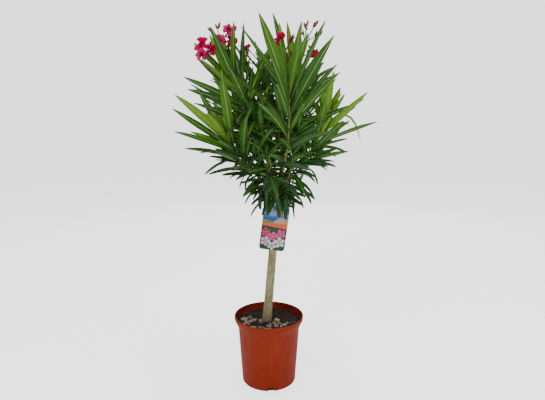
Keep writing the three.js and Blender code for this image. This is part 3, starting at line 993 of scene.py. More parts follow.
@dataclass
class Stem:
    """One stem with its leaves: a shoot that leaves the trunk, or a twig on such a shoot."""

    name: str
    holder: str
    habit: Habit
    bow: Bow
    roll: float
    seed: int
    kind: ShootKind
    leaves: list[Leaf] = field(default_factory=list)

    def radius(self, share: float) -> float:
        """Return the stem's radius at a share of its length."""
        return self.habit.stem * lerp(1.08, 0.5, share)

    def node(self, age: float) -> NodePlace:
        """Return the point, axis and side direction of the node of a given age.

        Args:
            age: The node's age, from 0 at the tip to 1 at the lowest.

        Returns:
            The point, the axis and the side direction.
        """
        share = lerp(self.habit.bare, 1, (1 - age) ** 0.85)
        axis = unit(self.bow.heading(share) + UP * self.habit.seek)
        return self.bow.point(share), axis, unit(np.cross(axis, UP))

    def limb_points(self, low: float, high: float) -> Vec:
        """Return points inside the stem between two shares of its length, for claiming its cells.

        Args:
            low: Where the stretch starts, as a share of the length.
            high: Where it ends.

        Returns:
            The points, one row each.
        """
        steps = math.ceil(self.bow.length() * (high - low) / Air.STEP)
        rows = []
        angles = 2 * math.pi * np.arange(16) / 16
        ring = np.outer(np.cos(angles), EAST) + np.outer(np.sin(angles), BACK)
        for k in range(steps + 1):
            share = lerp(low, high, k / steps)
            centre = self.bow.point(share)
            rows.append(centre[None, :])
            for reach in (self.radius(share) / 2, self.radius(share)):
                rows.append(centre + reach * ring)
        return np.vstack(rows)

    def grow(self, air: Air, strict: bool = False, shrink: float = 1.0, offset: float = 0.0) -> None:
        """Set whorls of three leaves along the stem, each leaf in air that is free.

        Args:
            air: Who holds the air so far.
            strict: Whether a leaf is left out rather than cross one of its own stem's.
            shrink: What the leaves' lengths are multiplied by.
            offset: How far every whorl is moved, as a share of the step between whorls.
        """
        habit = self.habit
        draw = seeded(self.seed)

        def swing(size: float) -> float:
            """Draw a number from -size to size."""
            return size * (draw() * 2 - 1)

        for i in range(habit.whorls):
            age = 1 - min(1.0, (i + offset) / (habit.whorls - 1))
            node = self.node(age)
            fullness = lerp(habit.least, 1, math.sin(math.pi * age**0.7))
            for k in range(3):
                turn = self.roll + 120 * (k + (i + offset) / 2) + swing(TURN_SWING)
                opening = lerp(habit.tip_open, habit.base_open, age**0.8) + swing(OPEN_SWING)
                length = habit.leaf * shrink * fullness * (1 + swing(LENGTH_SWING))
                bend = lerp(habit.tip_bend, habit.base_bend, age) + swing(BEND_SWING)
                twist = swing(TWIST_SWING)
                place: tuple[Leaf, Vec] | None = None
                for turn_by, share in TRIES:
                    leaf = self._aim(node, turn + turn_by, opening, length * share, bend, twist)
                    cells = leaf.cells(Air.STEP)
                    if not air.free(cells, self.holder):
                        continue
                    clear = not air.crosses(cells, self.holder)
                    if clear or (place is None and not strict):
                        place = (leaf, cells)
                    if clear:
                        break
                if place is None:
                    continue
                air.claim(place[1], self.holder)
                place[0].age = age
                self.leaves.append(place[0])

    def _aim(
        self, node: NodePlace, turn: float, opening: float, length: float, bend: float, roll: float
    ) -> Leaf:
        """Point one leaf out of a node.

        Args:
            node: The node's point, axis and side direction.
            turn: Where the leaf stands round the stem, in degrees.
            opening: Its angle from the stem.
            length: Its length.
            bend: How much further it leans by its tip.
            roll: How far its blade is turned about its midrib.

        Returns:
            The leaf.
        """
        point, axis, side = node
        around = spun(side, axis, turn)
        ways = [
            axis * math.cos(math.radians(angle)) + around * math.sin(math.radians(angle))
            for angle in (opening, opening + bend)
        ]
        middle = point + ways[0] * length / 2
        across = spun(np.cross(axis, around), ways[0], roll)
        rib = Bow(point, middle, middle + ways[1] * length / 2)
        return Leaf(rib, across, length, length * self.habit.slim)


class Plant:
    """Every shoot of the head, grown by the solids' rule and then carried on to finer twigs."""

    SHOOTS = (
        Shoot("tall_front", ShootKind.LEADER, -55, 50, 275, 35, 2, -60, 30, 22, 215),
        Shoot("tall_left", ShootKind.LEADER, 180, 118, 285, 6, 2, 210, 0, 9),
        Shoot("budded", ShootKind.LEADER, 52, 92, 292, 22, 2, 55, 60, 29),
        Shoot("back", ShootKind.LEADER, 110, 90, 275, 25, 2, 120, 45, 32),
        Shoot("left", ShootKind.SIDE, 195, 128, 130, 45, 12, 190, 75, 14, 205),
        Shoot("right", ShootKind.SIDE, 0, 130, 172, 50, 12, -24, 30, 10, 175),
        Shoot("back_right", ShootKind.SIDE, 36, 108, 200, 34, 13, 22, 0, 4, 175),
        Shoot("back_left", ShootKind.SIDE, 148, 130, 220, 32, 12, 150, 15, 20),
        Shoot("low_front_left", ShootKind.LOW, -112, 58, 85, 48, 20, -115, 0, 40),
        Shoot("low_front_right", ShootKind.LOW, -45, 62, 88, 55, 21, -45, 60, 29),
        Shoot("low_back_right", ShootKind.LOW, 45, 66, 92, 55, 23, 30, 75, 35),
        Shoot("low_back", ShootKind.LOW, 90, 66, 92, 45, 21, 90, 75, 35),
        Shoot("low_back_left", ShootKind.LOW, 140, 62, 90, 50, 24, 135, 30, 8),
    )
    SKIRT_SEEDS = (37, 24, 6, 4, 19, 17, 1, 29)
    CURLED = (
        ((150, 0, 700), (214, -8, 778), (239, -12, 660), 6.5),
        ((158, -4, 702), (156, -8, 752), (188, -8, 785), 6.5),
        ((150, -2, 690), (185, -14, 722), (206, -16, 706), 5.5),
    )
    SEAM = 10.0
    LABEL_ROOM = 7.0
    FILLER_SHRINK = {ShootKind.LEADER: 0.62, ShootKind.SIDE: 0.66, ShootKind.LOW: 0.7, ShootKind.SKIRT: 0.7}
    TWIGS = {ShootKind.LEADER: 7, ShootKind.SIDE: 5, ShootKind.LOW: 2, ShootKind.SKIRT: 1}
    TWIG_SPAN = (0.2, 0.66)
    TWIG_REACH = (30, 58)
    ROLL_TALL = (24, 48)
    ROLL_LOW = (0, 34)
    FOLD = (0.24, 0.6)
    TWIST = 22
    DRY = 0.02

    def __init__(self, trunk: Trunk) -> None:
        """Grow the plant on its trunk.

        Args:
            trunk: The trunk that bears the head.
        """
        self.trunk = trunk
        self.air = Air()
        self.stems = [self._stem(shoot) for shoot in (*self.SHOOTS, *self._skirt())]
        self.twigs: list[Stem] = []
        self.panicles = [Panicle.on(stem) for stem in self.stems if stem.name in Panicle.SIZES]
        self._claim_limbs()
        for stem in self.stems:
            stem.grow(self.air)
        log.info("main leaves: %d", sum(len(stem.leaves) for stem in self.stems))
        self._fill()
        self._twig()
        self._colour()
        self._curl()

    def _skirt(self) -> list[Shoot]:
        """Return the ring of short twigs round the foot of the head, whose leaves hang.

        Returns:
            The twigs, in order round the trunk.
        """
        count = len(self.SKIRT_SEEDS)
        shoots = []
        for n, seed in enumerate(self.SKIRT_SEEDS):
            way = -80 + 360 / count * n
            rise, level = ((0, 29), (-8, 34))[n % 2]
            shoots.append(Shoot(f"skirt_{n + 1}", ShootKind.SKIRT, way, 32, rise, 72, level, way, 0, seed))
        return shoots

    def _stem(self, shoot: Shoot) -> Stem:
        """Return the bare stem of a shoot: it leaves the trunk and sweeps up to its tip.

        Args:
            shoot: The shoot's place, sizes and seed.

        Returns:
            The stem, with no leaf yet.
        """
        out = bearing(shoot.azimuth)
        ring = 6.2 if shoot.kind is ShootKind.LEADER else 5.0
        start = self.trunk.axis(Trunk.TOP[2] - shoot.level) + bearing(shoot.root) * ring
        tip = Trunk.TOP + out * shoot.spread + UP * shoot.rise
        half = float(np.linalg.norm(tip - start)) / 2
        launch = math.radians(shoot.launch)
        knee = start + out * math.sin(launch) * half + UP * math.cos(launch) * half
        bow = Bow(start, knee, tip)
        return Stem(shoot.name, shoot.name, shoot.habit, bow, shoot.roll, shoot.seed, shoot.kind)

    def _claim_limbs(self) -> None:
        """Give the trunk, the label, the stems and the flower heads the air that they fill."""
        for height in np.arange(Trunk.FOOT, Trunk.TOP[2], Air.STEP):
            for reach in (0.0, Trunk.HEAD_RADIUS / 2, Trunk.HEAD_RADIUS):
                ring = [self.trunk.axis(height) + bearing(22.5 * k) * reach for k in range(16)]
                self.air.claim(np.array(ring), "trunk")
        middle, level = HangLabel.centre
        aside, up = HangLabel.width / 2 + self.LABEL_ROOM, HangLabel.height / 2 + self.LABEL_ROOM
        wide, high = np.meshgrid(np.arange(-aside, aside, Air.CELL), np.arange(-up, up, Air.CELL))
        front = np.full(wide.size, HangLabel.front)
        plate = np.stack((middle + wide.ravel(), front, level + high.ravel()), axis=1)
        self.air.claim(plate, "label")
        for stem in self.stems:
            join = 0.0 if stem.kind is ShootKind.SKIRT else stem.habit.bare - self.SEAM / stem.bow.length()
            if join > 0:
                self.air.claim(stem.limb_points(0, join), f"bough_{stem.name}")
            self.air.claim(stem.limb_points(join, 1), stem.name)
            for panicle in self.panicles:
                if panicle.stem is stem:
                    self.air.claim(panicle.cells(), stem.name)

    def _fill(self) -> None:
        """Grow smaller leaves between the whorls of every shoot, where the air is free."""
        for stem in self.stems:
            filler = replace(stem, seed=stem.seed + 61, roll=stem.roll + 30, leaves=[])
            filler.grow(self.air, strict=True, shrink=self.FILLER_SHRINK[stem.kind], offset=0.5)
            stem.leaves.extend(filler.leaves[:: 1 if stem.kind.tall else 2])

    def _twig(self) -> None:
        """Grow short side twigs with small leaves out of the lower part of the bigger shoots."""
        for stem in self.stems:
            draw = seeded(stem.seed + 7)
            for n in range(self.TWIGS[stem.kind]):
                share = lerp(*self.TWIG_SPAN, (n + draw()) / self.TWIGS[stem.kind])
                start = stem.bow.point(share)
                out = bearing(GOLDEN * n + 360 * draw())
                reach = lerp(*self.TWIG_REACH, draw())
                knee = start + (out * 0.8 + stem.bow.heading(share) * 0.6) * reach / 2
                tip = knee + (out * 0.45 + UP * 0.85) * reach / 2
                habit = ShootKind.TWIG.value
                if not stem.kind.tall:
                    habit = replace(habit, leaf=66, slim=0.165, tip_open=44, base_open=118, base_bend=74)
                twig = Stem(
                    f"{stem.name}_twig_{n + 1}", stem.name, habit, Bow(start, knee, tip),
                    60 * draw(), stem.seed * 9 + n, ShootKind.TWIG,
                )  # fmt: skip
                path = twig.bow.points(np.linspace(0.15, 1, 30))
                if not self.air.free(path, stem.name):
                    continue
                self.air.claim(path, stem.name)
                twig.grow(self.air)
                if twig.leaves:
                    self.twigs.append(twig)

    def _colour(self) -> None:
        """Deal out leaf colours, folds and twists by the age and place of each leaf."""
        for stem in (*self.stems, *self.twigs):
            draw = seeded(stem.seed + 211)
            roll = self.ROLL_TALL if stem.kind.tall else self.ROLL_LOW
            for leaf in stem.leaves:
                leaf.tone = self._tone(stem, leaf, draw())
                leaf.dry = draw() < self.DRY
                leaf.fold = lerp(*self.FOLD, draw())
                twist = lerp(0, self.TWIST, draw())
                leaf.roll = leaf.turned(lerp(*roll, draw()))
                leaf.twist = math.copysign(twist, leaf.roll)

    def _curl(self) -> None:
        """Add the few thin young leaves that curl at the tip of the right-hand shoot."""
        shoot = next(stem for stem in self.stems if stem.name == "right")
        for start, knee, tip, width in self.CURLED:
            rib = Bow(*(np.array(point, dtype=float) for point in (start, knee, tip)))
            across = unit(np.cross(rib.heading(0.5), UP * 0.6 - BACK))
            leaf = Leaf(rib, across, rib.length(), width, 0.0, LeafTone.YOUNG, fold=0.5, twist=30)
            shoot.leaves.append(leaf)

    @staticmethod
    def _tone(stem: Stem, leaf: Leaf, chance: float) -> LeafTone:
        """Choose a leaf's colour.

        Args:
            stem: The stem that it grows on.
            leaf: The leaf.
            chance: A number from 0 to 1 that shifts the choice.

        Returns:
            The tone: bright at the tips of the big shoots, dark and bluish low in the head, partly by age and
                partly as painted shade.
        """
        # Leaves low in the head lean to the darker tones: partly age, partly painted shade under the head.
        low = leaf.rib.start[2] < 640
        scale = {
            ShootKind.LEADER: (0.1, 0.34, 0.8),
            ShootKind.SIDE: (0.24, 0.46, 0.85),
            ShootKind.LOW: (-1, -0.1, 0.3),
            ShootKind.SKIRT: (-1, -1, 0.12),
            ShootKind.TWIG: (-1, 0.0, 0.35) if low else (0.05, 0.4, 0.9),
        }[stem.kind]
        place = leaf.age + (chance - 0.5) * 0.36
        for tone, limit in zip((LeafTone.YOUNG, LeafTone.FRESH, LeafTone.MATURE), scale):
            if place < limit:
                return tone
        return LeafTone.SHADE if low and chance < 0.6 else LeafTone.DEEP


# ---- blossom ----


@dataclass(frozen=True)
class Spray:
    """One branch of a flower head: where it points, its length, and how many flowers and buds it bears."""

    azimuth: float
    rise: float
    reach: float
    blooms: int = 0
    buds: int = 3
    at: float = 1.0


def sprays(*rows: tuple[float, ...]) -> tuple[Spray, ...]:
    """Return the branches that rows of numbers set, in the order of a spray's fields."""
    return tuple(Spray(*row) for row in rows)


@dataclass(frozen=True)
class HeadRoom:
    """The air that a flower head keeps free of leaves: branches at the golden angle, as in the solids."""

    stalk: float
    lean: float
    branches: int
    flowers: int
    reach: float
    tilt: tuple[float, float]
    turn: float


@dataclass(frozen=True)
class HeadSizes:
    """The sizes of one flower head: its stalk's length and lean, its room, its branches and its colour."""

    stalk: float
    lean: float
    room: HeadRoom
    sprays: tuple[Spray, ...]
    green: bool = False


@dataclass
class Branch:
    """One branch of a flower head as it stands, with what it bears."""

    start: Vec
    along: Vec
    tip: Vec
    spray: Spray


@dataclass
class Panicle:
    """A flower head at the tip of a shoot."""

    SIZES = {
        "tall_left": HeadSizes(
            66, -7, HeadRoom(62, 12, 7, 5, 56, (8, 78), 200),
            sprays(
                (-20, 64, 52, 1, 2), (-80, 50, 26, 1, 2), (190, 24, 38, 1, 2), (208, -14, 40, 1, 2),
                (160, 66, 56, 0, 2), (110, 78, 58, 0, 2), (240, 4, 26, 1, 2), (165, 4, 40, 1, 2),
                (40, 60, 44, 1, 2, 0.8), (90, 40, 40, 1, 2, 0.8),
            ),
        ),
        "tall_front": HeadSizes(
            72, 6, HeadRoom(74, -4, 3, 1, 24, (8, 45), 200),
            sprays((170, 62, 20, 1, 1), (-10, 60, 26, 0, 4), (-60, 30, 26, 0, 3, 0.6)),
        ),
        "budded": HeadSizes(
            109, 23, HeadRoom(84, 8, 4, 1, 66, (75, 5), 250),
            sprays(
                (60, 88, 36, 0, 4), (0, 60, 50, 0, 5), (-12, 26, 34, 0, 4), (100, 40, 40, 0, 4),
                (-20, 30, 26, 1, 1, 0.55),
            ),
            True,
        ),
        "back": HeadSizes(
            50, -6, HeadRoom(42, -6, 5, 3, 44, (10, 70), 130),
            sprays((180, 46, 52, 1, 2), (150, 14, 44, 1, 3), (20, 60, 40, 1, 3), (90, 30, 44, 1, 2)),
        ),
        "back_left": HeadSizes(
            70, 28, HeadRoom(70, 28, 2, 0, 22, (10, 35), 0),
            sprays((180, 50, 18, 0, 2), (90, 60, 20, 0, 3)), True,
        ),
    }  # fmt: skip
    FLOWER_RADIUS = 19.0
    TUBE = 12.0
    BUD = 17.0

    stem: Stem
    sizes: HeadSizes
    base: Vec
    fork: Vec
    axis: Vec
    branches: list[Branch]

    @classmethod
    def on(cls, stem: Stem) -> "Panicle":
        """Make the flower head of a shoot.

        Args:
            stem: The shoot.

        Returns:
            The head, with its stalk and its branches in place.
        """
        sizes = cls.SIZES[stem.name]
        axis, base = cls._axis(stem, sizes.lean), stem.bow.end
        branches = []
        for spray in sizes.sprays:
            start = base + axis * sizes.stalk * spray.at
            rise = math.radians(spray.rise)
            along = bearing(spray.azimuth) * math.cos(rise) + UP * math.sin(rise)
            branches.append(Branch(start, along, start + along * spray.reach, spray))
        return cls(stem, sizes, base, base + axis * sizes.stalk, axis, branches)

    @staticmethod
    def _axis(stem: Stem, lean: float) -> Vec:
        """Return the direction of a stalk that leans outwards by an angle from the tip of a shoot.

        Args:
            stem: The shoot.
            lean: The angle.

        Returns:
            The direction, of length 1.
        """
        out = stem.bow.end - Trunk.TOP
        out = unit(np.array((out[0], out[1], 0.0)))
        return unit(stem.bow.heading(1) + UP * 0.4 + out * math.tan(math.radians(lean)))

    @staticmethod
    def facing(branch: Branch) -> Vec:
        """Return the way that a branch's flower faces: outwards and a little towards the front."""
        level = np.array((branch.along[0], branch.along[1], 0.0))
        return unit(branch.along * 0.45 + level * 0.5 - BACK * 0.75 + UP * 0.1)

    def cells(self) -> Vec:
        """Return points over the room of the head, for claiming its cells.

        Returns:
            The points, one row each.
        """
        room = self.sizes.room
        axis = self._axis(self.stem, room.lean)
        fork = self.base + axis * room.stalk
        rows = [self.base + (fork - self.base) * k / 12 for k in range(13)]
        side = unit(np.cross(axis, UP))
        for k in range(room.branches):
            tilt = math.radians(lerp(*room.tilt, k / (room.branches - 1)))
            along = axis * math.cos(tilt) + spun(side, axis, room.turn + GOLDEN * k) * math.sin(tilt)
            start = fork - axis * room.stalk * 0.4 * (k % 2)
            tip = start + along * room.reach * (1 - 0.18 * (k % 3))
            rows.extend(start + (tip - start) * step / 12 for step in range(13))
            over = unit(np.cross(along, UP))
            reach, depth = (self.FLOWER_RADIUS, self.TUBE) if k < room.flowers else (7.8, self.BUD)
            for lift in (depth / 2, depth):
                for ring in np.arange(0, reach + 0.01, Air.CELL):
                    middle = tip + along * lift
                    rows.extend(middle + spun(over, along, 30 * step) * ring for step in range(12))
        return np.array(rows)


class Blossom:
    """Open flowers, buds and their stalks, gathered over every flower head."""

    PETALS = 5
    BUD_LENGTH = 18.0
    BUD_GIRTH = 0.155
    BUD_TWIST = 70
    BUD_RIDGE = 0.12
    BUD_GAP = 3
    BLOOM_GAP = 9
    SOFT_SHARE = 0.45
    BLOOM_SIZES = (0.82, 1.05)
    THROAT = ((0, 1.2), (0.3, 1.4), (0.6, 2.1), (0.85, 3.4), (1.0, 4.2))
    MOUTH = 3.4
    BUD_FOOT = 0.4
    BUD_SWELL = 0.75
    PETAL_FOOT = 0.12
    PETAL_HALF = 0.29
    PETAL_BLUNT = 0.16
    PETAL_LOPSIDED = 0.1
    PETAL_RIPPLE = 1.4
    PETAL_HOLLOW = 1.5
    PETAL_SWEEP = 0.2
    PETAL_LIFT = (1, 11)
    PETAL_CURL = (-9, 5)
    PETAL_TWIST = (2, 5)

    def __init__(self, panicles: Sequence[Panicle]) -> None:
        """Take the flower heads to dress.

        Args:
            panicles: The flower heads.
        """
        self.panicles = panicles
        self.petals = MeshDraft()
        self.buds = MeshDraft()
        self.stalks = MeshDraft()
        self.draw = seeded(5)

    def build(self, petals: Finishes, buds: Finishes, stalks: Finishes) -> None:
        """Make the three pieces of blossom.

        Args:
            petals: Materials of deep petals, soft petals, throats and fringes.
            buds: Materials of red buds, green buds and their cups.
            stalks: Materials of red stalks and green stalks.
        """
        for panicle in self.panicles:
            self._head(panicle)
        settle(self.petals.build("flowers", petals))
        settle(self.buds.build("flower_buds", buds))
        settle(self.stalks.build("flower_stalks", stalks))

    def _head(self, panicle: Panicle) -> None:
        """Add one flower head's stalk, branches, flowers and buds.

        Args:
            panicle: The flower head.
        """
        tone = 1 if panicle.sizes.green else 0
        lower = panicle.base + (panicle.fork - panicle.base) * 0.55
        self._stalk(panicle.base - panicle.axis * 3, lower, 2.1, 1.9, 1)
        self._stalk(lower - panicle.axis, panicle.fork, 1.9, 1.6, tone)
        for branch in panicle.branches:
            self._stalk(branch.start - panicle.axis, branch.tip, 1.8, 1.3, tone)
            self._bract(branch.start, branch.along, tone)
            if branch.spray.blooms:
                self._flower(branch.tip, panicle.facing(branch))
            self._spray(branch, panicle, branch.spray.buds, 0.6 if branch.spray.blooms else 0.95)

    def _stalk(self, start: Vec, end: Vec, wide: float, slim: float, tone: int) -> None:
        """Add one slightly bowed stalk.

        Args:
            start: Where it starts.
            end: Where it ends.
            wide: Its radius at the start.
            slim: Its radius at the end.
            tone: The number of its material.
        """
        shares = np.linspace(0, 1, 6)
        side = unit(np.cross(end - start, UP + EAST * 0.3))
        bow = np.sin(math.pi * shares)[:, None] * side * float(np.linalg.norm(end - start)) * 0.025
        path = start + (end - start) * shares[:, None] + bow
        self.stalks.add(*tube(path, np.linspace(wide, slim, 6), 7), tone)

    def _bract(self, at: Vec, along: Vec, tone: int) -> None:
        """Add the small pointed scale that stands under a branch.

        Args:
            at: Its foot.
            along: The way that the branch points.
            tone: The number of its material.
        """
        out = unit(along + UP * 0.4)
        side = unit(np.cross(out, UP))
        tip = at + out * 6
        points = np.array((at - side * 1.3, at + side * 1.3, tip, at + np.cross(side, out) * 0.9))
        self.stalks.add(points, [(0, 1, 2), (1, 0, 3), (0, 2, 3), (2, 1, 3)], tone)

    def _spray(self, branch: Branch, panicle: Panicle, count: int, size: float) -> None:
        """Add a loose bunch of buds near the end of a branch.

        Args:
            branch: The branch that carries them.
            panicle: The head that it belongs to.
            count: How many buds there are.
            size: Their size, as a share of the largest.
        """
        tone = 1 if panicle.sizes.green else 0
        side = unit(np.cross(branch.along, UP))
        gap = self.BLOOM_GAP if branch.spray.blooms else self.BUD_GAP
        for k in range(count):
            around = spun(side, branch.along, GOLDEN * k + 40 * self.draw())
            back = branch.tip - branch.along * (1 + gap * k)
            way = unit(branch.along + around * (0.3 + 0.3 * self.draw()) + UP * 0.25)
            foot = back + way * (4 + 4 * self.draw())
            self._stalk(back, foot, 0.7, 0.6, tone)
            self._bud(foot, way, self.BUD_LENGTH * size * lerp(0.6, 1.05, self.draw()), tone)

    def _bud(self, at: Vec, along: Vec, length: float, tone: int) -> None:
        """Add one bud: a twisted spindle in its cup of five points.

        Args:
            at: Its foot.
            along: The way that it points.
            length: Its length.
            tone: The number of its material.
        """
        side = unit(np.cross(along, UP + BACK * 0.2))
        girth = length * self.BUD_GIRTH
        rings, sides = 7, 8
        rows = []
        for ring in range(rings):
            share = ring / (rings - 1)
            swell = math.sin(math.pi * min(1, share * 0.92 + 0.06)) ** 0.8
            radius = girth * (self.BUD_FOOT + self.BUD_SWELL * swell)
            for k in range(sides):
                ridge = 1 + self.BUD_RIDGE * (k % 2)
                out = spun(side, along, 360 * k / sides + self.BUD_TWIST * share)
                rows.append(at + along * length * share * 0.96 + out * radius * ridge)
        rows.append(at + along * length)
        faces = ring_faces(rings, sides)
        last = (rings - 1) * sides
        faces += [(last + k, last + (k + 1) % sides, last + sides) for k in range(sides)]
        self.buds.add(np.array(rows), faces, tone)
        self._cup(at, along, side, girth * 1.25, length * 0.26)

    def _cup(self, at: Vec, along: Vec, side: Vec, radius: float, height: float) -> None:
        """Add the five pointed sepals round the foot of a bud or a flower.

        Args:
            at: Its foot.
            along: The way that it points.
            side: The direction of its first sepal.
            radius: Its radius.
            height: Its height.
        """
        points, faces = [at - along * 1.0], []
        for k in range(5):
            out = spun(side, along, 72 * k)
            over = np.cross(along, out)
            points += [
                at + out * radius * 0.75 - over * radius * 0.5 + along * height * 0.1,
                at + out * radius * 0.75 + over * radius * 0.5 + along * height * 0.1,
                at + out * radius * 1.15 + along * height,
            ]
            first = 1 + 3 * k
            faces += [(0, first + 1, first), (first, first + 1, first + 2), (first + 1, first, first + 2)]
        self.buds.add(np.array(points), faces, 2)

    def _flower(self, at: Vec, along: Vec) -> None:
        """Add one open flower: a funnel, five petals set like a propeller, and a fringe.

        Args:
            at: Its foot.
            along: The way that it faces.
        """
        side = spun(unit(np.cross(along, UP)), along, 72 * self.draw())
        depth = Panicle.TUBE
        tone = 1 if self.draw() < self.SOFT_SHARE else 0
        path = np.array([at + along * depth * share for share, _ in self.THROAT])
        self.petals.add(*tube(path, [radius for _, radius in self.THROAT], 10), 2)
        self._cup(at, along, side, 2.6, 5)
        reach = Panicle.FLOWER_RADIUS * lerp(*self.BLOOM_SIZES, self.draw())
        for k in range(self.PETALS):
            out = spun(side, along, 72 * k + 8 * (self.draw() - 0.5))
            self._petal(at + along * (depth - 0.5), along, out, reach, tone)
            self._fringe(at + along * depth, along, spun(out, along, 18))

    def _petal(self, at: Vec, along: Vec, out: Vec, reach: float, tone: int) -> None:
        """Add one petal as a thin blade of two sheets, back to back.

        Args:
            at: The middle of the flower's mouth.
            along: The way that the flower faces.
            out: The way that the petal spreads.
            reach: How far its tip stands from the middle.
            tone: The number of its material.
        """
        over = np.cross(along, out)
        lift, curl = lerp(*self.PETAL_LIFT, self.draw()), lerp(*self.PETAL_CURL, self.draw())
        phase = 6 * self.draw()
        blade_twist = lerp(*self.PETAL_TWIST, self.draw())
        deep, wide = 6, 5
        shares, ways = np.linspace(0, 1, deep), np.linspace(-1, 1, wide)
        rows = []
        for share in shares:
            swell = math.sin(math.pi * min(1.0, share * 0.86)) ** 0.85
            half = reach * (self.PETAL_FOOT + self.PETAL_HALF * swell)
            for way in ways:
                blunt = 1 - self.PETAL_BLUNT * share * way * way - self.PETAL_LOPSIDED * share * way
                radius = lerp(self.MOUTH, reach, share) * blunt
                rise = lift * math.sin(share * math.pi * 0.6) + curl * share**3
                ripple = self.PETAL_RIPPLE * share * math.sin(3.2 * way + phase)
                hollow = self.PETAL_HOLLOW * (1 - abs(way)) * share
                rise += ripple + blade_twist * way * share - hollow
                slide = half * way + reach * self.PETAL_SWEEP * share * share
                rows.append(at + out * radius + over * slide + along * rise)
        top = np.array(rows)
        under = top - along * 0.35
        grid = grid_faces(deep, wide)
        slots = [2 if r == 0 else tone for r in range(deep - 1) for _ in range(wide - 1)]
        self.petals.add(top, grid, slots)
        self.petals.add(under, [face[::-1] for face in grid], slots)

    def _fringe(self, at: Vec, along: Vec, out: Vec) -> None:
        """Add one toothed scale of the fringe round the flower's mouth.

        Args:
            at: The middle of the flower's mouth.
            along: The way that the flower faces.
            out: The direction of the scale.
        """
        over = np.cross(along, out)
        foot = at + out * 3.2
        points = np.array(
            (
                foot - over * 1.6,
                foot + over * 1.6,
                foot + over * 2.2 + along * 4.5 + out,
                foot + over * 0.4 + along * 3.2 + out * 0.5,
                foot - over * 0.8 + along * 5.2 + out,
                foot - over * 2.0 + along * 3.8 + out * 0.6,
            )
        )
        self.petals.add(points, [(0, 1, 2, 3, 4, 5), (5, 4, 3, 2, 1, 0)], 3)


# ---- leaves and stems ----


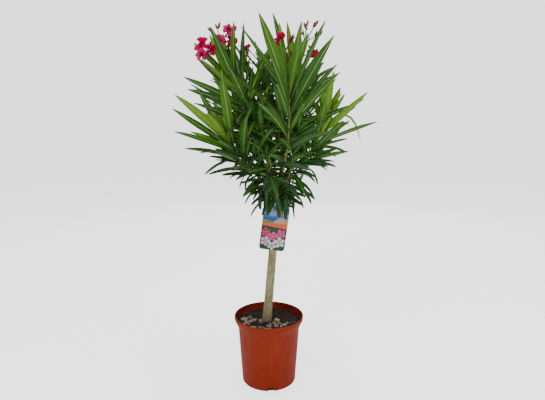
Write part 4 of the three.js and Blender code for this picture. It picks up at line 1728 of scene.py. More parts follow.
class Foliage:
    """The meshes of the leaves, one piece to a tone, and of the stems that carry them."""

    STATIONS = np.array((0, 0.05, 0.14, 0.27, 0.42, 0.58, 0.73, 0.87, 0.96))
    THICK = 0.5
    RIB_TIP = 0.32
    RIB_LEAST = 0.22
    RIB_GAIN = 240
    RIB_MOST = 0.4
    TURN_IN = 0.2
    KEEL = 0.4
    KEEL_SPREAD = 1.4
    MIDWAY = 0.52
    DOME = 0.34
    WAVE = 0.5

    def __init__(self, plant: Plant) -> None:
        """Take the plant to dress."""
        self.plant = plant
        self.draw = seeded(77)

    def build_leaves(self, finishes: dict[LeafTone, Finishes]) -> None:
        """Make one piece of leaves for each tone.

        Args:
            finishes: For each tone the materials of the upper side, underside, midrib and dry tip.
        """
        drafts = {tone: MeshDraft() for tone in LeafTone}
        for stem in (*self.plant.stems, *self.plant.twigs):
            for leaf in stem.leaves:
                self._leaf(drafts[leaf.tone], leaf)
        for tone, draft in drafts.items():
            piece = draft.build(f"leaves_{tone.name.lower()}", finishes[tone])
            settle(piece)

    def _leaf(self, draft: MeshDraft, leaf: Leaf) -> None:
        """Add one leaf: a folded blade with a pale midrib above and a raised one below.

        Args:
            draft: The piece that it goes to.
            leaf: The leaf.
        """
        shares = self.STATIONS
        half = leaf.blade(shares)[:, None]
        centre = leaf.rib.points(shares)
        along = leaf.rib.headings(shares)
        across = leaf.across - along * (along @ leaf.across)[:, None]
        across /= np.linalg.norm(across, axis=1, keepdims=True)
        above = np.cross(along, across)
        turn = np.radians(leaf.roll * np.minimum(1, shares / self.TURN_IN) + leaf.twist * shares)[:, None]
        across = across * np.cos(turn) + above * np.sin(turn)
        above = np.cross(along, across)
        girth = self.RIB_LEAST + leaf.length / self.RIB_GAIN
        rib = np.minimum(lerp(1.0, self.RIB_TIP, shares)[:, None] * girth, half * self.RIB_MOST)
        phase = 6 * self.draw()
        wave = self.WAVE * np.sin(8 * shares + phase)[:, None] * np.sin(math.pi * shares)[:, None]

        def row(way: float) -> Vec:
            """Return the line of points at one place across the blade."""
            lift = leaf.fold * abs(way) * half - self.DOME * way * way * half + wave * way * abs(way)
            return centre + across * way * half + above * lift

        def rib_row(way: int, rise: float = 0.0, spread: float = 1.0) -> Vec:
            """Return the line of points along one side of the midrib."""
            return centre + across * way * rib * spread + above * rise

        top = [row(-1), row(-self.MIDWAY), rib_row(-1), rib_row(1), row(self.MIDWAY), row(1)]
        keel = [rib_row(way, -self.THICK - self.KEEL, self.KEEL_SPREAD) for way in (-1, 1)]
        low = [row(-1), *keel, row(1)]
        tip = leaf.rib.end[None, :]
        self._sheet(draft, leaf, top, tip, (0, 0, 2, 0, 0))
        self._sheet(draft, leaf, low[::-1], tip, (1, 2, 1))

    def _sheet(
        self, draft: MeshDraft, leaf: Leaf, lines: list[Vec], tip: Vec, slots: tuple[int, ...]
    ) -> None:
        """Add one side of a leaf.

        Args:
            draft: The piece that it goes to.
            leaf: The leaf.
            lines: Lines of points from root to tip, from one edge to the other.
            tip: The leaf's tip, as one row.
            slots: The material number of each strip between two lines.
        """
        wide, deep = len(lines), len(self.STATIONS)
        points = np.vstack([np.stack(lines, axis=1).reshape(-1, 3), tip])
        last = (deep - 1) * wide
        fan = [(last + c, deep * wide, last + c + 1) for c in range(wide - 1)]
        faces = [*grid_faces(deep, wide), *fan]
        numbers: list[int] = []
        for r in range(deep):
            dry = leaf.dry and r >= deep - 2
            numbers += [2 if r == 0 else 3 if dry else slot for slot in slots]
        draft.add(points, faces, numbers)

    def build_stems(self, bark: Material, green: Material) -> None:
        """Make the boughs and the leafy stems, with a swelling at each node.

        Args:
            bark: The material of the boughs.
            green: The material of the leafy stems.
        """
        boughs, stems = MeshDraft(), MeshDraft()
        bough_nodes, masses = [], []
        for stem in self.plant.stems:
            masses.append(f"foliage_{stem.name}")
            join = 0.0
            if stem.kind is not ShootKind.SKIRT:
                join = stem.habit.bare - Plant.SEAM / stem.bow.length()
                bough_nodes.append(f"bough_{stem.name}")
                self._limb(boughs, stem, 0, join, 14)
            self._limb(stems, stem, join, 1, 10)
        for twig in self.plant.twigs:
            self._limb(stems, twig, 0, 1, 7)
        settle(boughs.build("bough_bark", [bark]), bough_nodes)
        settle(stems.build("leafy_stems", [green]), masses)

    @staticmethod
    def _limb(draft: MeshDraft, stem: Stem, low: float, high: float, sides: int) -> None:
        """Add one stretch of a stem.

        Args:
            draft: The piece that it goes to.
            stem: The stem.
            low: Where the stretch starts, as a share of the length.
            high: Where it ends.
            sides: How many sides it has.
        """
        length = stem.bow.length()
        count = max(5, int(length * (high - low) / 4))
        shares = np.linspace(low, high, count)
        last = stem.habit.whorls - 1
        nodes = [lerp(stem.habit.bare, 1, (i / last) ** 0.85) for i in range(stem.habit.whorls)]
        scars = [stem.habit.bare * k / 4 for k in (1, 2, 3)]
        radii = []
        for share in shares:
            near = min(abs(share - node) for node in (*nodes, *scars)) * length
            radii.append(stem.radius(share) * (1 + 0.2 * math.exp(-((near / 3.2) ** 2))))
        draft.add(*tube(stem.bow.points(shares), radii, sides, pointed=high == 1))


# ---- pot, potting mix and label ----


@dataclass
class Pot:
    """The moulded nursery pot."""

    height: float = 187.0
    base_radius: float = 72.5
    foot_radius: float = 74.3
    foot_round: float = 3.0
    slope: float = 0.066
    ridge_height: float = 155.0
    ridge_proud: float = 0.8
    rim_radius: float = 95.0
    rim_edge: float = 6.0
    wall: float = 1.6
    floor: float = 2.0
    sides: int = 160
    notches: int = 4
    notch_size: tuple[float, float] = (14.5, 11.0)
    notch_span: tuple[float, float] = (60.0, 80.0)
    notch_turn: float = -85.5
    hub: float = 8.0
    inner_rows: int = 21

    def wall_radius(self, height: float) -> float:
        """Return the outer radius of the straight wall at a height."""
        return self.foot_radius + self.slope * (height - self.foot_round)

    def rim_line(self, inset: float, count: int = 12) -> list[tuple[float, float]]:
        """Return the bell-mouthed line of the rim, from just above the ridge up to the edge.

        Args:
            inset: How far inside the outer face the line runs.
            count: How many points it has.

        Returns:
            The radius and height of each point.
        """
        start, top = self.wall_radius(self.ridge_height), self.height - self.rim_edge
        line = []
        for k in range(1, count + 1):
            share = k / count
            swell = math.sin(share * math.pi / 2) ** 1.6
            line.append((lerp(start, self.rim_radius, swell) - inset, lerp(self.ridge_height, top, share)))
        return line

    def build(self, plastic: Material, inside: Material) -> Object:
        """Make the pot by turning its section and cutting the drain notches.

        Args:
            plastic: The material of the pot.
            inside: The material of its inner wall, darker than the outside: painted shade.

        Returns:
            The finished piece.
        """
        rows = [
            np.array([bearing(360 * k / self.sides) * radius + UP * level for k in range(self.sides)])
            for radius, level in self._section()
        ]
        count, last = self.sides, (len(rows) - 1) * self.sides
        ends = [tuple(range(count - 1, -1, -1)), tuple(range(last, last + count))]
        faces = [*ends, *ring_faces(len(rows), count)]
        first_inner = len(rows) - self.inner_rows
        # The inner rows take the second, darker material: painted shade on the pot's inner wall.
        slots = [0, 1, *(int(r >= first_inner) for r in range(len(rows) - 1) for _ in range(count))]
        draft = MeshDraft()
        draft.add(np.vstack(rows), faces, slots)
        pot = draft.build("pot_moulded", [plastic, inside])
        cutter = self._cutter()
        cut = pot.modifiers.new("drain notches", "BOOLEAN")
        cut.operation, cut.solver, cut.object = "DIFFERENCE", "EXACT", cutter
        pot = baked(pot)
        bpy.data.objects.remove(cutter)
        pot.data.set_sharp_from_angle(angle=math.radians(38))
        return settle(pot, ["pot"])

    def _section(self) -> list[tuple[float, float]]:
        """Return the pot's section as radius and height, up the outside and down the inside.

        Returns:
            The radius and height of each point.
        """
        ridge, proud, rim = self.ridge_height, self.ridge_proud, self.rim_radius
        foot = [
            (lerp(self.base_radius, self.foot_radius, math.sin(a)), self.foot_round * (1 - math.cos(a)))
            for a in np.linspace(0, math.pi / 2, 5)
        ]
        wall = [(self.wall_radius(z), z) for z in np.linspace(12, ridge - 5, 12)]
        step = [
            (self.wall_radius(ridge - 3.4), ridge - 3.4),
            (self.wall_radius(ridge - 2.4) + proud * 0.7, ridge - 2.4),
            (self.wall_radius(ridge - 1.2) + proud, ridge - 1.2),
            (self.wall_radius(ridge) + proud, ridge),
        ]
        lip = [(rim, z) for z in (self.height - 4, self.height - 1.6)]
        lip += [(rim - 0.5, self.height - 0.5), (rim - 1.2, self.height), (rim - self.wall, self.height)]
        lip += [(rim - self.wall - 0.9, self.height - 0.6), (rim - self.wall - 1.1, self.height - 2)]
        inner = [(radius, z) for radius, z in reversed(self.rim_line(self.wall))]
        inner += [(self.wall_radius(z) - self.wall, z) for z in np.linspace(ridge, self.floor, 8)]
        outside = [(self.hub, 0.0), (self.hub * 5, 0.0), *foot, *wall, *step, *self.rim_line(0)[1:]]
        return [*outside, *lip, *inner, (self.hub, self.floor)]

    def _cutter(self) -> Object:
        """Return one object with a block for every drain notch.

        Returns:
            The blocks.
        """
        draft = MeshDraft()
        wide, high = self.notch_size[0] / 2, self.notch_size[1]
        for k in range(self.notches):
            out = bearing(self.notch_turn + 360 / self.notches * k)
            over = np.cross(UP, out)
            corners = [
                out * reach + over * aside + UP * level
                for level in (-high, high)
                for reach, aside in (
                    (self.notch_span[0], -wide), (self.notch_span[1], -wide),
                    (self.notch_span[1], wide), (self.notch_span[0], wide),
                )
            ]  # fmt: skip
            faces = [(3, 2, 1, 0), (4, 5, 6, 7), *ring_faces(2, 4)]
            draft.add(np.array(corners), faces)
        return draft.build("notch_blocks", [])


def baked(piece: Object) -> Object:
    """Turn a piece with modifiers into a plain mesh of the same name, and drop the modifiers.

    Args:
        piece: The piece.

    Returns:
        The same object, with its finished mesh.
    """
    graph = bpy.context.evaluated_depsgraph_get()
    mesh = bpy.data.meshes.new_from_object(piece.evaluated_get(graph), depsgraph=graph)
    piece.modifiers.clear()
    piece.data = mesh
    return piece


class ChipKind(Enum):
    """What lies on the mix: its mark, number to a square metre, size, flatness, seed and fineness."""

    PALE = ("pale", 8000.0, 12.5, 0.36, 3, 2)
    BARK = ("bark", 6500.0, 9.5, 0.5, 11, 2)
    CRUMB = ("crumb", 30000.0, 2.6, 0.8, 19, 1)


@dataclass
class PottingMix:
    """The mix in the pot, with its chips, crumbs and fibres."""

    pot: Pot
    top: float = 170.0
    seat: float = 24.0
    dip: float = 3.0
    clearance: float = 0.3
    lumps: tuple[float, float] = (2.6, 17.0)
    grains: tuple[float, float] = (1.5, 4.1)
    chip_floor: float = 160.0
    chip_ring: tuple[float, float] = (13.0, 84.0)
    trunk_at: float = -6.0
    trunk_room: float = 14.0

    def height_at(self, x: float, y: float) -> float:
        """Return the level of the plain surface at a place.

        Args:
            x: The place across.
            y: The place in depth.

        Returns:
            The level.
        """
        out = max(0.0, math.hypot(x, y) - self.seat) / self.seat
        wave = math.sin(x / 13 + y / 29) * math.cos(y / 11 - x / 31)
        return self.top + self.dip * min(1.0, out) * wave

    def build(self, soil: Material, chips: dict[ChipKind, Material], fibre: Material) -> None:
        """Make the mix and what lies on it.

        Args:
            soil: The material of the mix.
            chips: The material of each kind of chip.
            fibre: The material of the fibres.
        """
        ground = self._ground(soil)
        for kind in ChipKind:
            self._scatter(ground, kind, chips[kind])
        self._fibres(fibre)
        settle(ground, ["potting_mix"])

    def _ground(self, soil: Material) -> Object:
        """Return the body of the mix, rough on top, with a mark of where each kind of chip lies.

        Args:
            soil: The material of the mix.

        Returns:
            The body of the mix.
        """
        sides = 150
        edge_radius, edge_height = self.pot.rim_line(self.pot.wall + self.clearance)[5]
        radii = np.append(np.linspace(4, edge_radius - 2, 38), edge_radius)
        rows = []
        for radius in radii:
            ring = []
            for k in range(sides):
                x, y, _ = bearing(360 * k / sides) * radius
                rise, wide = self.lumps
                lump = rise * noise.fractal(Vector((x / wide, y / wide, 1.3)), 1.0, 2.1, 5)
                rise, wide = self.grains
                fine = rise * noise.noise(Vector((x / wide, y / wide, 8.0)))
                level = self.height_at(x, y) + lump + fine
                if radius > edge_radius - 6:
                    level = lerp(level, edge_height, (radius - edge_radius + 6) / 6)
                ring.append((x, y, level))
            rows.append(np.array(ring))
        inset = self.pot.wall + self.clearance
        for level in (self.pot.ridge_height, self.pot.floor + self.clearance):
            radius = self.pot.wall_radius(level) - inset
            rows.append(np.array([bearing(360 * k / sides) * radius + UP * level for k in range(sides)]))
        faces: list[Face] = [(a, d, c, b) for a, b, c, d in ring_faces(len(rows), sides)]
        faces.append(tuple(range(sides)))
        faces.append(tuple((len(rows) - 1) * sides + k for k in range(sides - 1, -1, -1)))
        draft = MeshDraft()
        draft.add(np.vstack(rows), faces)
        ground = draft.build("potting_mix_body", [soil])
        for kind in ChipKind:
            mask = ground.data.attributes.new(kind.value[0], "FLOAT", "POINT")
            mask.data.foreach_set("value", [self._share(kind, v.co / MM) for v in ground.data.vertices])
        return ground

    def _share(self, kind: ChipKind, at: Vector) -> float:
        """Return how thickly one kind of chip lies at a place, from 0 to 1.

        Args:
            kind: The kind.
            at: The place, in millimetres.

        Returns:
            The share.
        """
        reach = math.hypot(at.x, at.y)
        if at.z < self.chip_floor or reach > self.chip_ring[1] or reach < self.chip_ring[0]:
            return 0.0
        patch = 0.5 + 0.9 * noise.noise(Vector((at.x / 26, at.y / 26, 4.4)))
        front = min(1.0, max(0.0, (12 - at.y - 0.35 * at.x) / 42))
        if kind is ChipKind.PALE:
            return max(0.0, min(1.0, front * patch * (1.8 if at.y > -42 else 0.9)))
        if kind is ChipKind.BARK:
            return max(0.0, min(1.0, 1.1 - front)) * (0.9 if at.x < 0 else 0.3)
        return 1.0 if at.x < 0 else 0.6

    def _scatter(self, ground: Object, kind: ChipKind, material: Material) -> None:
        """Lay one kind of chip over the mix.

        Args:
            ground: The body of the mix.
            kind: The kind of chip.
            material: The material of the chips.
        """
        mark, density, size, flat, seed, detail = kind.value
        tree = chip_tree()
        chips = linked(f"mix_{mark}", ground.data.copy())
        modifier = chips.modifiers.new("chips", "NODES")
        modifier.node_group = tree
        values = {
            "Where": mark, "Density": density, "Size": size * MM, "Flatness": flat,
            "Seed": seed, "Detail": detail, "Finish": material,
        }  # fmt: skip
        for item in tree.interface.items_tree:
            if item.in_out == "INPUT" and item.name in values:
                modifier[item.identifier] = values[item.name]
        piece = baked(chips)
        piece.data.materials.clear()
        piece.data.materials.append(material)
        settle(piece)

    def _fibres(self, fibre: Material) -> None:
        """Lay curled fibres on the mix, fewer of them in front.

        Args:
            fibre: The material of the fibres.
        """
        draft, draw = MeshDraft(), seeded(31)
        for _ in range(64):
            way, reach = 360 * draw(), lerp(16, 76, draw() ** 0.7)
            at = bearing(way) * reach
            if at[1] < -10 and draw() < 0.55:
                continue
            length, curl = lerp(10, 30, draw()), lerp(-150, 150, draw())
            heading, lift = 360 * draw(), lerp(0.5, 5.5, draw())
            path = [at]
            for _ in range(7):
                heading += curl / 7
                path.append(path[-1] + bearing(heading) * length / 7)
            path = [
                p
                for p in path
                if math.hypot(p[0], p[1]) < self.chip_ring[1]
                and math.hypot(p[0] - self.trunk_at, p[1]) > self.trunk_room
            ]
            if len(path) < 4:
                continue
            for k, point in enumerate(path):
                arch = lift * math.sin(math.pi * k / (len(path) - 1))
                point[2] = self.height_at(point[0], point[1]) + 1.2 + arch
            girth = lerp(0.35, 0.95, draw())
            draft.add(*tube(np.array(path), np.linspace(girth, girth * 0.5, len(path)), 5))
        settle(draft.build("mix_fibres", [fibre]))


def chip_tree() -> GeometryNodeTree:
    """Build the node tree that scatters small broken chips over a surface, or return it if made.

    Returns:
        The tree. Its inputs name the attribute that says where chips lie, their number per
        square metre, size, flatness, seed, fineness and material.
    """
    name = "scattered chips"
    if name in bpy.data.node_groups:
        return bpy.data.node_groups[name]
    tree = bpy.data.node_groups.new(name, "GeometryNodeTree")
    tree.interface.new_socket("Geometry", in_out="INPUT", socket_type="NodeSocketGeometry")
    sockets = {
        "Where": "String", "Density": "Float", "Size": "Float", "Flatness": "Float",
        "Seed": "Int", "Detail": "Int", "Finish": "Material",
    }  # fmt: skip
    for label, kind in sockets.items():
        tree.interface.new_socket(label, in_out="INPUT", socket_type=f"NodeSocket{kind}")
    tree.interface.new_socket("Geometry", in_out="OUTPUT", socket_type="NodeSocketGeometry")
    bench = NodeBench(tree)
    given, made = bench.add("NodeGroupInput").outputs, bench.add("NodeGroupOutput")
    where = bench.add("GeometryNodeInputNamedAttribute", {"Name": given["Where"]}, data_type="FLOAT")
    spread = {
        "Mesh": given["Geometry"],
        "Seed": given["Seed"],
        "Density": bench.maths("MULTIPLY", given["Density"], where.outputs["Attribute"]),
    }
    points = bench.add("GeometryNodeDistributePointsOnFaces", spread, distribute_method="RANDOM")
    ball = bench.add("GeometryNodeMeshIcoSphere", {"Radius": 0.5, "Subdivisions": given["Detail"]})

    def chance(least: tuple[float, ...], most: tuple[float, ...]) -> NodeSocket:
        """Return three numbers drawn anew for each chip."""
        feeds = {"Min": least, "Max": most, "Seed": given["Seed"]}
        return bench.add("FunctionNodeRandomValue", feeds, data_type="FLOAT_VECTOR").outputs["Value"]

    def vector(operation: str, feeds: dict[str | int, object]) -> NodeSocket:
        """Return the result of a sum with vectors."""
        return bench.add("ShaderNodeVectorMath", feeds, operation=operation).outputs["Vector"]

    turn = chance((-0.6, -0.6, 0.0), (0.6, 0.6, 6.283))
    size = vector("SCALE", {0: chance((0.7, 0.35, 0.5), (2.0, 0.95, 1.0)), "Scale": given["Size"]})
    squeeze = bench.add("ShaderNodeCombineXYZ", {"X": 1.0, "Y": 1.0, "Z": given["Flatness"]})
    laid = {
        "Points": points.outputs["Points"],
        "Instance": ball.outputs["Mesh"],
        "Rotation": turn,
        "Scale": vector("MULTIPLY", {0: size, 1: squeeze.outputs["Vector"]}),
    }
    place = bench.add("GeometryNodeInstanceOnPoints", laid)
    real = bench.add("GeometryNodeRealizeInstances", {"Geometry": place.outputs["Instances"]})
    grain = bench.add("ShaderNodeTexNoise", {"Scale": 240})
    shift = vector("SUBTRACT", {0: grain.outputs["Color"], 1: (0.5, 0.5, 0.5)})
    offset = vector("SCALE", {0: shift, "Scale": given["Size"]})
    moved = {"Geometry": real.outputs["Geometry"], "Offset": offset}
    broken = bench.add("GeometryNodeSetPosition", moved)
    dressed = {"Geometry": broken.outputs["Geometry"], "Material": given["Finish"]}
    finish = bench.add("GeometryNodeSetMaterial", dressed)
    bench.feed(made.inputs["Geometry"], finish.outputs["Geometry"])
    return tree


class Print(Enum):
    """The inks of the hang label."""

    CARD = "f4f1ee"
    SKY = "3f7fc4"
    HAZE = "9db7e0"
    SEA = "1a9aa6"
    DEEP = "2760a8"
    SAND = "d8a58f"
    HILL = "8a8f4a"
    ORANGE = "f0713a"
    FOREST = "33493f"
    PINK = "e85c94"
    ROSE = "d63468"
    WHITE = "e4e8e6"
    BLUSH = "efc3dc"
    GOLD = "e6c65a"


Line = Callable[[float], float]
Layer = tuple[Print, Vec, list[Face]]


@dataclass
class HangLabel:
    """The hang label: a printed card on a strap round the trunk, with a plain garden picture."""

    trunk: Trunk
    width: float = 69.0
    height: float = 123.0
    corner: float = 8.0
    thick: float = 0.8
    centre: tuple[float, float] = (15.0, 434.5)
    front: float = -11.9
    turn: float = -7.5
    tongue: tuple[float, float, float] = (13.0, 9.0, -10.0)
    band_level: float = 497.0
    band_height: float = 5.0
    band_inner: float = 10.3
    band_thick: float = 1.8

    def build(self, inks: dict[Print, Material]) -> Object:
        """Make the label.

        Args:
            inks: The material of each ink; the card itself takes the first.

        Returns:
            The finished piece.
        """
        order = list(Print)
        draft = MeshDraft()
        self._card(draft)
        self._band(draft)
        for layer, (ink, points, faces) in enumerate(self._picture()):
            sheet = self._placed(points, 0.06 + 0.012 * layer)
            draft.add(sheet, faces, order.index(ink))
        piece = draft.build("hang_label", [inks[ink] for ink in order], smooth=False)
        return settle(piece, ["label"])

    def _placed(self, flat: Vec, lift: float) -> Vec:
        """Return points of the card's face, given across and up, in the plant's frame.

        Args:
            flat: Points across and up from the card's middle.
            lift: How far they stand in front of the card.

        Returns:
            The points, one row each.
        """
        angle = math.radians(self.turn)
        x = flat[:, 0] * math.cos(angle) - flat[:, 1] * math.sin(angle)
        z = flat[:, 0] * math.sin(angle) + flat[:, 1] * math.cos(angle)
        y = np.full(len(flat), self.front - lift)
        return np.stack((self.centre[0] + x, y, self.centre[1] + z), axis=1)

    def _outline(self) -> Vec:
        """Return the card's outline with its tongue, anticlockwise seen from the front.

        Returns:
            The places across and up.
        """
        right, top = self.width / 2, self.height / 2
        tongue_width, tongue_height, shift = self.tongue
        rows: list[tuple[float, float]] = []
        corners = ((right, -top, -90), (right, top, 0), (-right, top, 90), (-right, -top, 180))
        for x, y, start in corners:
            if start == 90:
                edge = shift + tongue_width / 2
                rows += [(edge, top), (edge, top + tongue_height)]
                rows += [(shift - tongue_width / 2, top + tongue_height), (shift - tongue_width / 2, top)]
            for k in range(9):
                angle = math.radians(start + 90 * k / 8)
                across = x - math.copysign(self.corner, x) + self.corner * math.cos(angle)
                up = y - math.copysign(self.corner, y) + self.corner * math.sin(angle)
                rows.append((across, up))
        return np.array(rows)

    def _card(self, draft: MeshDraft) -> None:
        """Add the plain card.

        Args:
            draft: The piece that it goes to.
        """
        outline = self._outline()
        count = len(outline)
        points = np.vstack((self._placed(outline, 0), self._placed(outline, -self.thick)))
        faces: list[Face] = [tuple(range(count)), tuple(range(2 * count - 1, count - 1, -1))]
        faces += [(k, k + count, (k + 1) % count + count, (k + 1) % count) for k in range(count)]
        draft.add(points, faces)

    def _band(self, draft: MeshDraft) -> None:
        """Add the strap that loops round the trunk.

        Args:
            draft: The piece that it goes to.
        """
        sides = 40
        hold = self.trunk.axis(self.band_level)
        low, high = -self.band_height / 2, self.band_height / 2
        outer = self.band_inner + self.band_thick
        section = ((self.band_inner, low), (outer, low), (outer, high), (self.band_inner, high))
        points = [
            hold + bearing(360 * k / sides) * radius + UP * level
            for radius, level in section
            for k in range(sides)
        ]
        total = len(points)
        faces = [tuple(corner % total for corner in face) for face in ring_faces(len(section) + 1, sides)]
        draft.add(np.array(points), faces)

    def _span(self, ink: Print, low: Line, high: Line) -> Layer:
        """Fill the card between two lines that run across it.

        Args:
            ink: The ink.
            low: The lower line's height at each place across.
            high: The upper line's height at each place across.

        Returns:
            The ink, the shape's points and its faces.
        """
        right, top, count = self.width / 2 - 0.4, self.height / 2 - 0.4, 48
        rows: list[tuple[float, float]] = []
        for x in np.linspace(-right, right, count):
            inner = max(0.0, abs(x) - (right - self.corner))
            limit = top - self.corner + math.sqrt(max(0.0, self.corner**2 - inner**2))
            rows += [(x, min(limit, max(-limit, low(x)))), (x, min(limit, max(-limit, high(x))))]
        faces = [(2 * k, 2 * k + 2, 2 * k + 3, 2 * k + 1) for k in range(count - 1)]
        return ink, np.array(rows), faces

    def _disc(self, ink: Print, x: float, y: float, radius: float) -> Layer:
        """Return a round spot of ink.

        Args:
            ink: The ink.
            x: The place across.
            y: The place up.
            radius: The radius.

        Returns:
            The layer.
        """
        angles = np.arange(0, 2 * math.pi, math.pi / 12)
        rows = [(x + radius * math.cos(angle), y + radius * math.sin(angle)) for angle in angles]
        return ink, np.array(rows), [tuple(range(len(rows)))]

    def _rosette(self, ink: Print, x: float, y: float, radius: float, turn: float) -> list[Layer]:
        """Return a plain flower of five round petals.

        Args:
            ink: The ink of its petals.
            x: The place across.
            y: The place up.
            radius: How far its petals reach.
            turn: The direction of its first petal.

        Returns:
            The layers of its petals and of its middle.
        """
        rows: list[tuple[float, float]] = []
        faces: list[Face] = []
        for k in range(5):
            way = math.radians(turn + 72 * k)
            middle = (x + radius * 0.56 * math.cos(way), y + radius * 0.56 * math.sin(way))
            first = len(rows)
            for step in range(14):
                angle = 2 * math.pi * step / 14
                out, over = radius * 0.5 * math.cos(angle), radius * 0.36 * math.sin(angle)
                across = middle[0] + out * math.cos(way) - over * math.sin(way)
                up = middle[1] + out * math.sin(way) + over * math.cos(way)
                rows.append((across, up))
            faces.append(tuple(range(first, first + 14)))
        return [(ink, np.array(rows), faces), self._disc(Print.GOLD, x, y, radius * 0.16)]

    def _picture(self) -> list[Layer]:
        """Return the layers of the picture, from the back to the front.

        Returns:
            The layers.
        """
        flat = [
            self._span(Print.SKY, lambda x: 20, lambda x: 62),
            self._span(
                Print.HAZE, lambda x: 34 + 3 * math.sin(x / 6), lambda x: 44 + 4 * math.sin(x / 9 + 1)
            ),
            self._span(Print.DEEP, lambda x: 8, lambda x: 26),
            self._span(Print.SEA, lambda x: 6, lambda x: 17 + 2 * math.sin(x / 5)),
            self._span(Print.SAND, lambda x: 6, lambda x: 30 - 0.02 * (x - 22) ** 2),
            self._span(Print.HILL, lambda x: 6, lambda x: 21 - 0.016 * (x + 26) ** 2),
            self._span(Print.FOREST, lambda x: -62, lambda x: 3 - 0.05 * x),
            self._span(Print.ORANGE, lambda x: 2 - 0.08 * x, lambda x: 12 + 0.05 * x),
        ]
        flowers = (
            (Print.ROSE, -22, -14, 12, 20), (Print.PINK, 20, -15, 13, 50), (Print.PINK, -1, -24, 13, 10),
            (Print.WHITE, 19, -38, 14, 30), (Print.BLUSH, -20, -38, 13, 0), (Print.WHITE, -1, -49, 11.5, 60),
        )  # fmt: skip
        layers = [*flat, self._disc(Print.GOLD, -14, 49, 5)]
        for ink, x, y, radius, turn in flowers:
            layers.extend(self._rosette(ink, x, y, radius, turn))
        return layers


# ---- studio and assembly ----


class Studio:
    """The pale floor, the soft lights and the camera."""

    CAMERA = (0.0101, -1.192, 0.6967)
    TILT = -9.0
    LENS = 29.9
    SURROUND = 0.36
    GLOW = 1.7

    def build(self) -> None:
        """Make the floor, the lights and the camera."""
        self._floor()
        self._world()
        self._light("key", (-1.3, -2.0, 2.4), 1.6, 42)
        self._light("fill", (2.2, -1.5, 1.5), 1.8, 24)
        self._light("top", (0.1, 0.3, 2.9), 1.8, 27)
        self._light("rim", (0.4, 2.6, 1.8), 1.8, 22)
        data = bpy.data.cameras.new("camera")
        data.lens, data.sensor_width = self.LENS, 36.0
        camera = linked("camera", data)
        camera.location = self.CAMERA
        camera.rotation_euler = (math.radians(90 + self.TILT), 0, 0)
        bpy.context.scene.camera = camera

    def _floor(self) -> None:
        """Lay a wide pale floor just under the pot."""
        reach = 30.0
        mesh = bpy.data.meshes.new("floor")
        corners = [(-reach, -reach, 0), (reach, -reach, 0), (reach, reach, 0), (-reach, reach, 0)]
        mesh.from_pydata(corners, [], [(0, 1, 2, 3)])
        paper = Finish("floor_paper", "ffffff", "f6f6f6", (0.85, 0.95), 8.0, 0.0, specular=0.1).material()
        shader = paper.node_tree.nodes["Principled BSDF"]
        self._seen_bright(paper.node_tree, shader.inputs["Emission Strength"], 0)
        shader.inputs["Emission Color"].default_value = (1, 1, 1, 1)
        mesh.materials.append(paper)
        linked("floor", mesh)

    def _seen_bright(self, tree: NodeTree, strength: NodeSocket, unseen: float) -> None:
        """Give paper or surround a glow where it is looked at, so that it stays pale behind.

        Args:
            tree: The tree of the material or of the world.
            strength: The socket of its strength.
            unseen: Its strength where it isn't looked at.
        """
        bench = NodeBench(tree)
        path = bench.add("ShaderNodeLightPath")
        bench.feed(strength, bench.maths("MULTIPLY_ADD", path.outputs["Is Camera Ray"], self.GLOW, unseen))

    def _world(self) -> None:
        """Light everything evenly from a white surround."""
        world = bpy.data.worlds.new("surround")
        world.use_nodes = True
        back = world.node_tree.nodes["Background"]
        back.inputs["Color"].default_value = (1, 1, 1, 1)
        self._seen_bright(world.node_tree, back.inputs["Strength"], self.SURROUND)
        bpy.context.scene.world = world

    @staticmethod
    def _light(name: str, place: tuple[float, float, float], size: float, power: float) -> None:
        """Hang one soft square light, aimed at the plant's middle.

        Args:
            name: The light's name.
            place: Where it hangs, in metres.
            size: Its width, in metres.
            power: Its power, in watts.
        """
        data = bpy.data.lights.new(name, "AREA")
        data.shape, data.size, data.energy = "SQUARE", size, power
        light = linked(name, data)
        light.location = place
        aim = Vector((0, 0, 0.5)) - Vector(place)
        light.rotation_euler = aim.to_track_quat("-Z", "Y").to_euler()


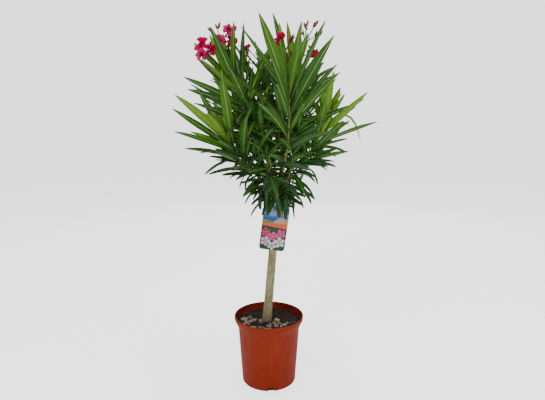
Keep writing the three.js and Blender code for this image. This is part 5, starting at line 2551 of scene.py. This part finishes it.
class Wardrobe:
    """Every finish of the plant: those of one piece stand in the order of its material numbers."""

    DRY_TIP = Finish("leaf_dry_tip", "5c3c1e", "7e5a30", (0.7, 0.8), 400, 0.2)
    LEAF_SIDES = (
        ("upper", 0.8, (0.45, 0.55), 90, 0.12, 0.14),
        ("under", 0.88, (0.55, 0.65), 90, 0.1, 0.14),
        ("midrib", 0.88, (0.45, 0.55), 300, 0.1, 0.3),
    )
    PETALS = (
        Finish("petal_deep", "a40034", "bc004c", (0.6, 0.7), 120, 0.3, specular=0.1),
        Finish("petal_soft", "c40058", "d0247c", (0.6, 0.7), 120, 0.3, specular=0.1),
        Finish("petal_throat", "60001c", "880030", (0.6, 0.7), 200, 0.2, specular=0.1),
        Finish("petal_fringe", "cc3070", "a81454", (0.6, 0.7), 200, 0.1, specular=0.1),
    )
    BUDS = (
        Finish("bud_red", "7c1230", "a81c44", (0.4, 0.5), 260, 0.2),
        Finish("bud_green", "6b6a34", "7c4a3a", (0.45, 0.55), 260, 0.2),
        Finish("bud_cup", "5a2430", "6a5a34", (0.5, 0.6), 260, 0.2),
    )
    STALKS = (
        Finish("stalk_red", "5c241c", "74402c", (0.45, 0.55), 300, 0.2),
        Finish("stalk_green", "5c7426", "748a38", (0.45, 0.55), 300, 0.2),
    )
    BARK = (Bark("trunk_bark", "b9af8a", "7f7850", (0.7, 0.85), 210, 0.5, (1, 1, 0.4)),)
    STEMS = (
        Bark(
            "bough_bark", "6e6238", "5a5a2c", (0.6, 0.7), 260, 0.3, (1, 1, 0.4),
            levels=(520, 545, 560, 620),
        ),
        Bark(
            "green_stem", "8a9630", "97a83a", (0.45, 0.55), 260, 0.2, (1, 1, 0.4),
            foot="6a5530", top="93b040", levels=(500, 640, 640, 780), pores="8fa04c",
        ),
    )  # fmt: skip
    POT = (
        PotPlastic("terracotta_plastic", "992c0b", "8e2708", (0.45, 0.55), 46, 0.05, specular=0.2),
        # The second finish is darker than the first: painted shade on the pot's inner wall.
        PotPlastic("terracotta_inside_painted_shade", "7a2210", "641a0c", (0.6, 0.7), 46, 0.05, specular=0.1),
    )
    MIX = (
        Soil("potting_mix", "080504", "1c110a", (0.85, 0.95), 420, 1.6),
        Finish("mix_fibre", "6b3d1c", "3a2110", (0.7, 0.8), 500, 0.2),
    )
    CHIPS = {
        ChipKind.PALE: Finish("chip_pale", "b6ab96", "5c5040", (0.75, 0.9), 380, 0.7),
        ChipKind.BARK: Finish("chip_bark", "40251a", "1a0e08", (0.75, 0.9), 380, 0.7),
        ChipKind.CRUMB: Finish("chip_crumb", "0d0806", "20140c", (0.8, 0.95), 500, 0.7),
    }

    @staticmethod
    def made(finishes: Iterable[Finish]) -> list[Material]:
        """Make the materials of some finishes, in their order."""
        return [finish.material() for finish in finishes]

    @staticmethod
    def _deeper(code: str, share: float) -> str:
        """Return a darker colour of the same hue."""
        return "".join(f"{int(int(code[k : k + 2], 16) * share):02x}" for k in (0, 2, 4))

    @classmethod
    def leaves(cls) -> dict[LeafTone, list[Material]]:
        """Make the materials of every leaf tone.

        Returns:
            For each tone the materials of the upper side, underside, midrib and dry tip.
        """
        dry = cls.DRY_TIP.material()
        sets = {}
        for tone in LeafTone:
            sets[tone] = []
            for code, (side, share, rough, scale, relief, specular) in zip(tone.value, cls.LEAF_SIDES):
                name, second = f"leaf_{tone.name.lower()}_{side}", cls._deeper(code, share)
                finish = Finish(name, code, second, rough, scale, relief, specular=specular)
                sets[tone].append(finish.material())
            sets[tone].append(dry)
        return sets

    @classmethod
    def inks(cls) -> dict[Print, Material]:
        """Make the label's card and inks.

        Returns:
            The materials by ink.
        """
        inks = {}
        for ink in Print:
            name, second = f"label_{ink.name.lower()}", cls._deeper(ink.value, 0.86)
            inks[ink] = Finish(name, ink.value, second, (0.3, 0.36), 130, 0.02).material()
        return inks


def main() -> None:
    """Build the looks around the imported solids, piece by piece."""
    logging.basicConfig(level=logging.INFO, format="%(message)s")
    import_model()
    trunk = Trunk()
    trunk.build(*Wardrobe.made(Wardrobe.BARK))
    plant = Plant(trunk)
    foliage = Foliage(plant)
    foliage.build_leaves(Wardrobe.leaves())
    foliage.build_stems(*Wardrobe.made(Wardrobe.STEMS))
    Blossom(plant.panicles).build(*map(Wardrobe.made, (Wardrobe.PETALS, Wardrobe.BUDS, Wardrobe.STALKS)))
    pot = Pot()
    pot.build(*Wardrobe.made(Wardrobe.POT))
    soil, fibre = Wardrobe.made(Wardrobe.MIX)
    PottingMix(pot).build(soil, {kind: finish.material() for kind, finish in Wardrobe.CHIPS.items()}, fibre)
    HangLabel(trunk).build(Wardrobe.inks())
    Studio().build()


if __name__ == "__main__":
    main()
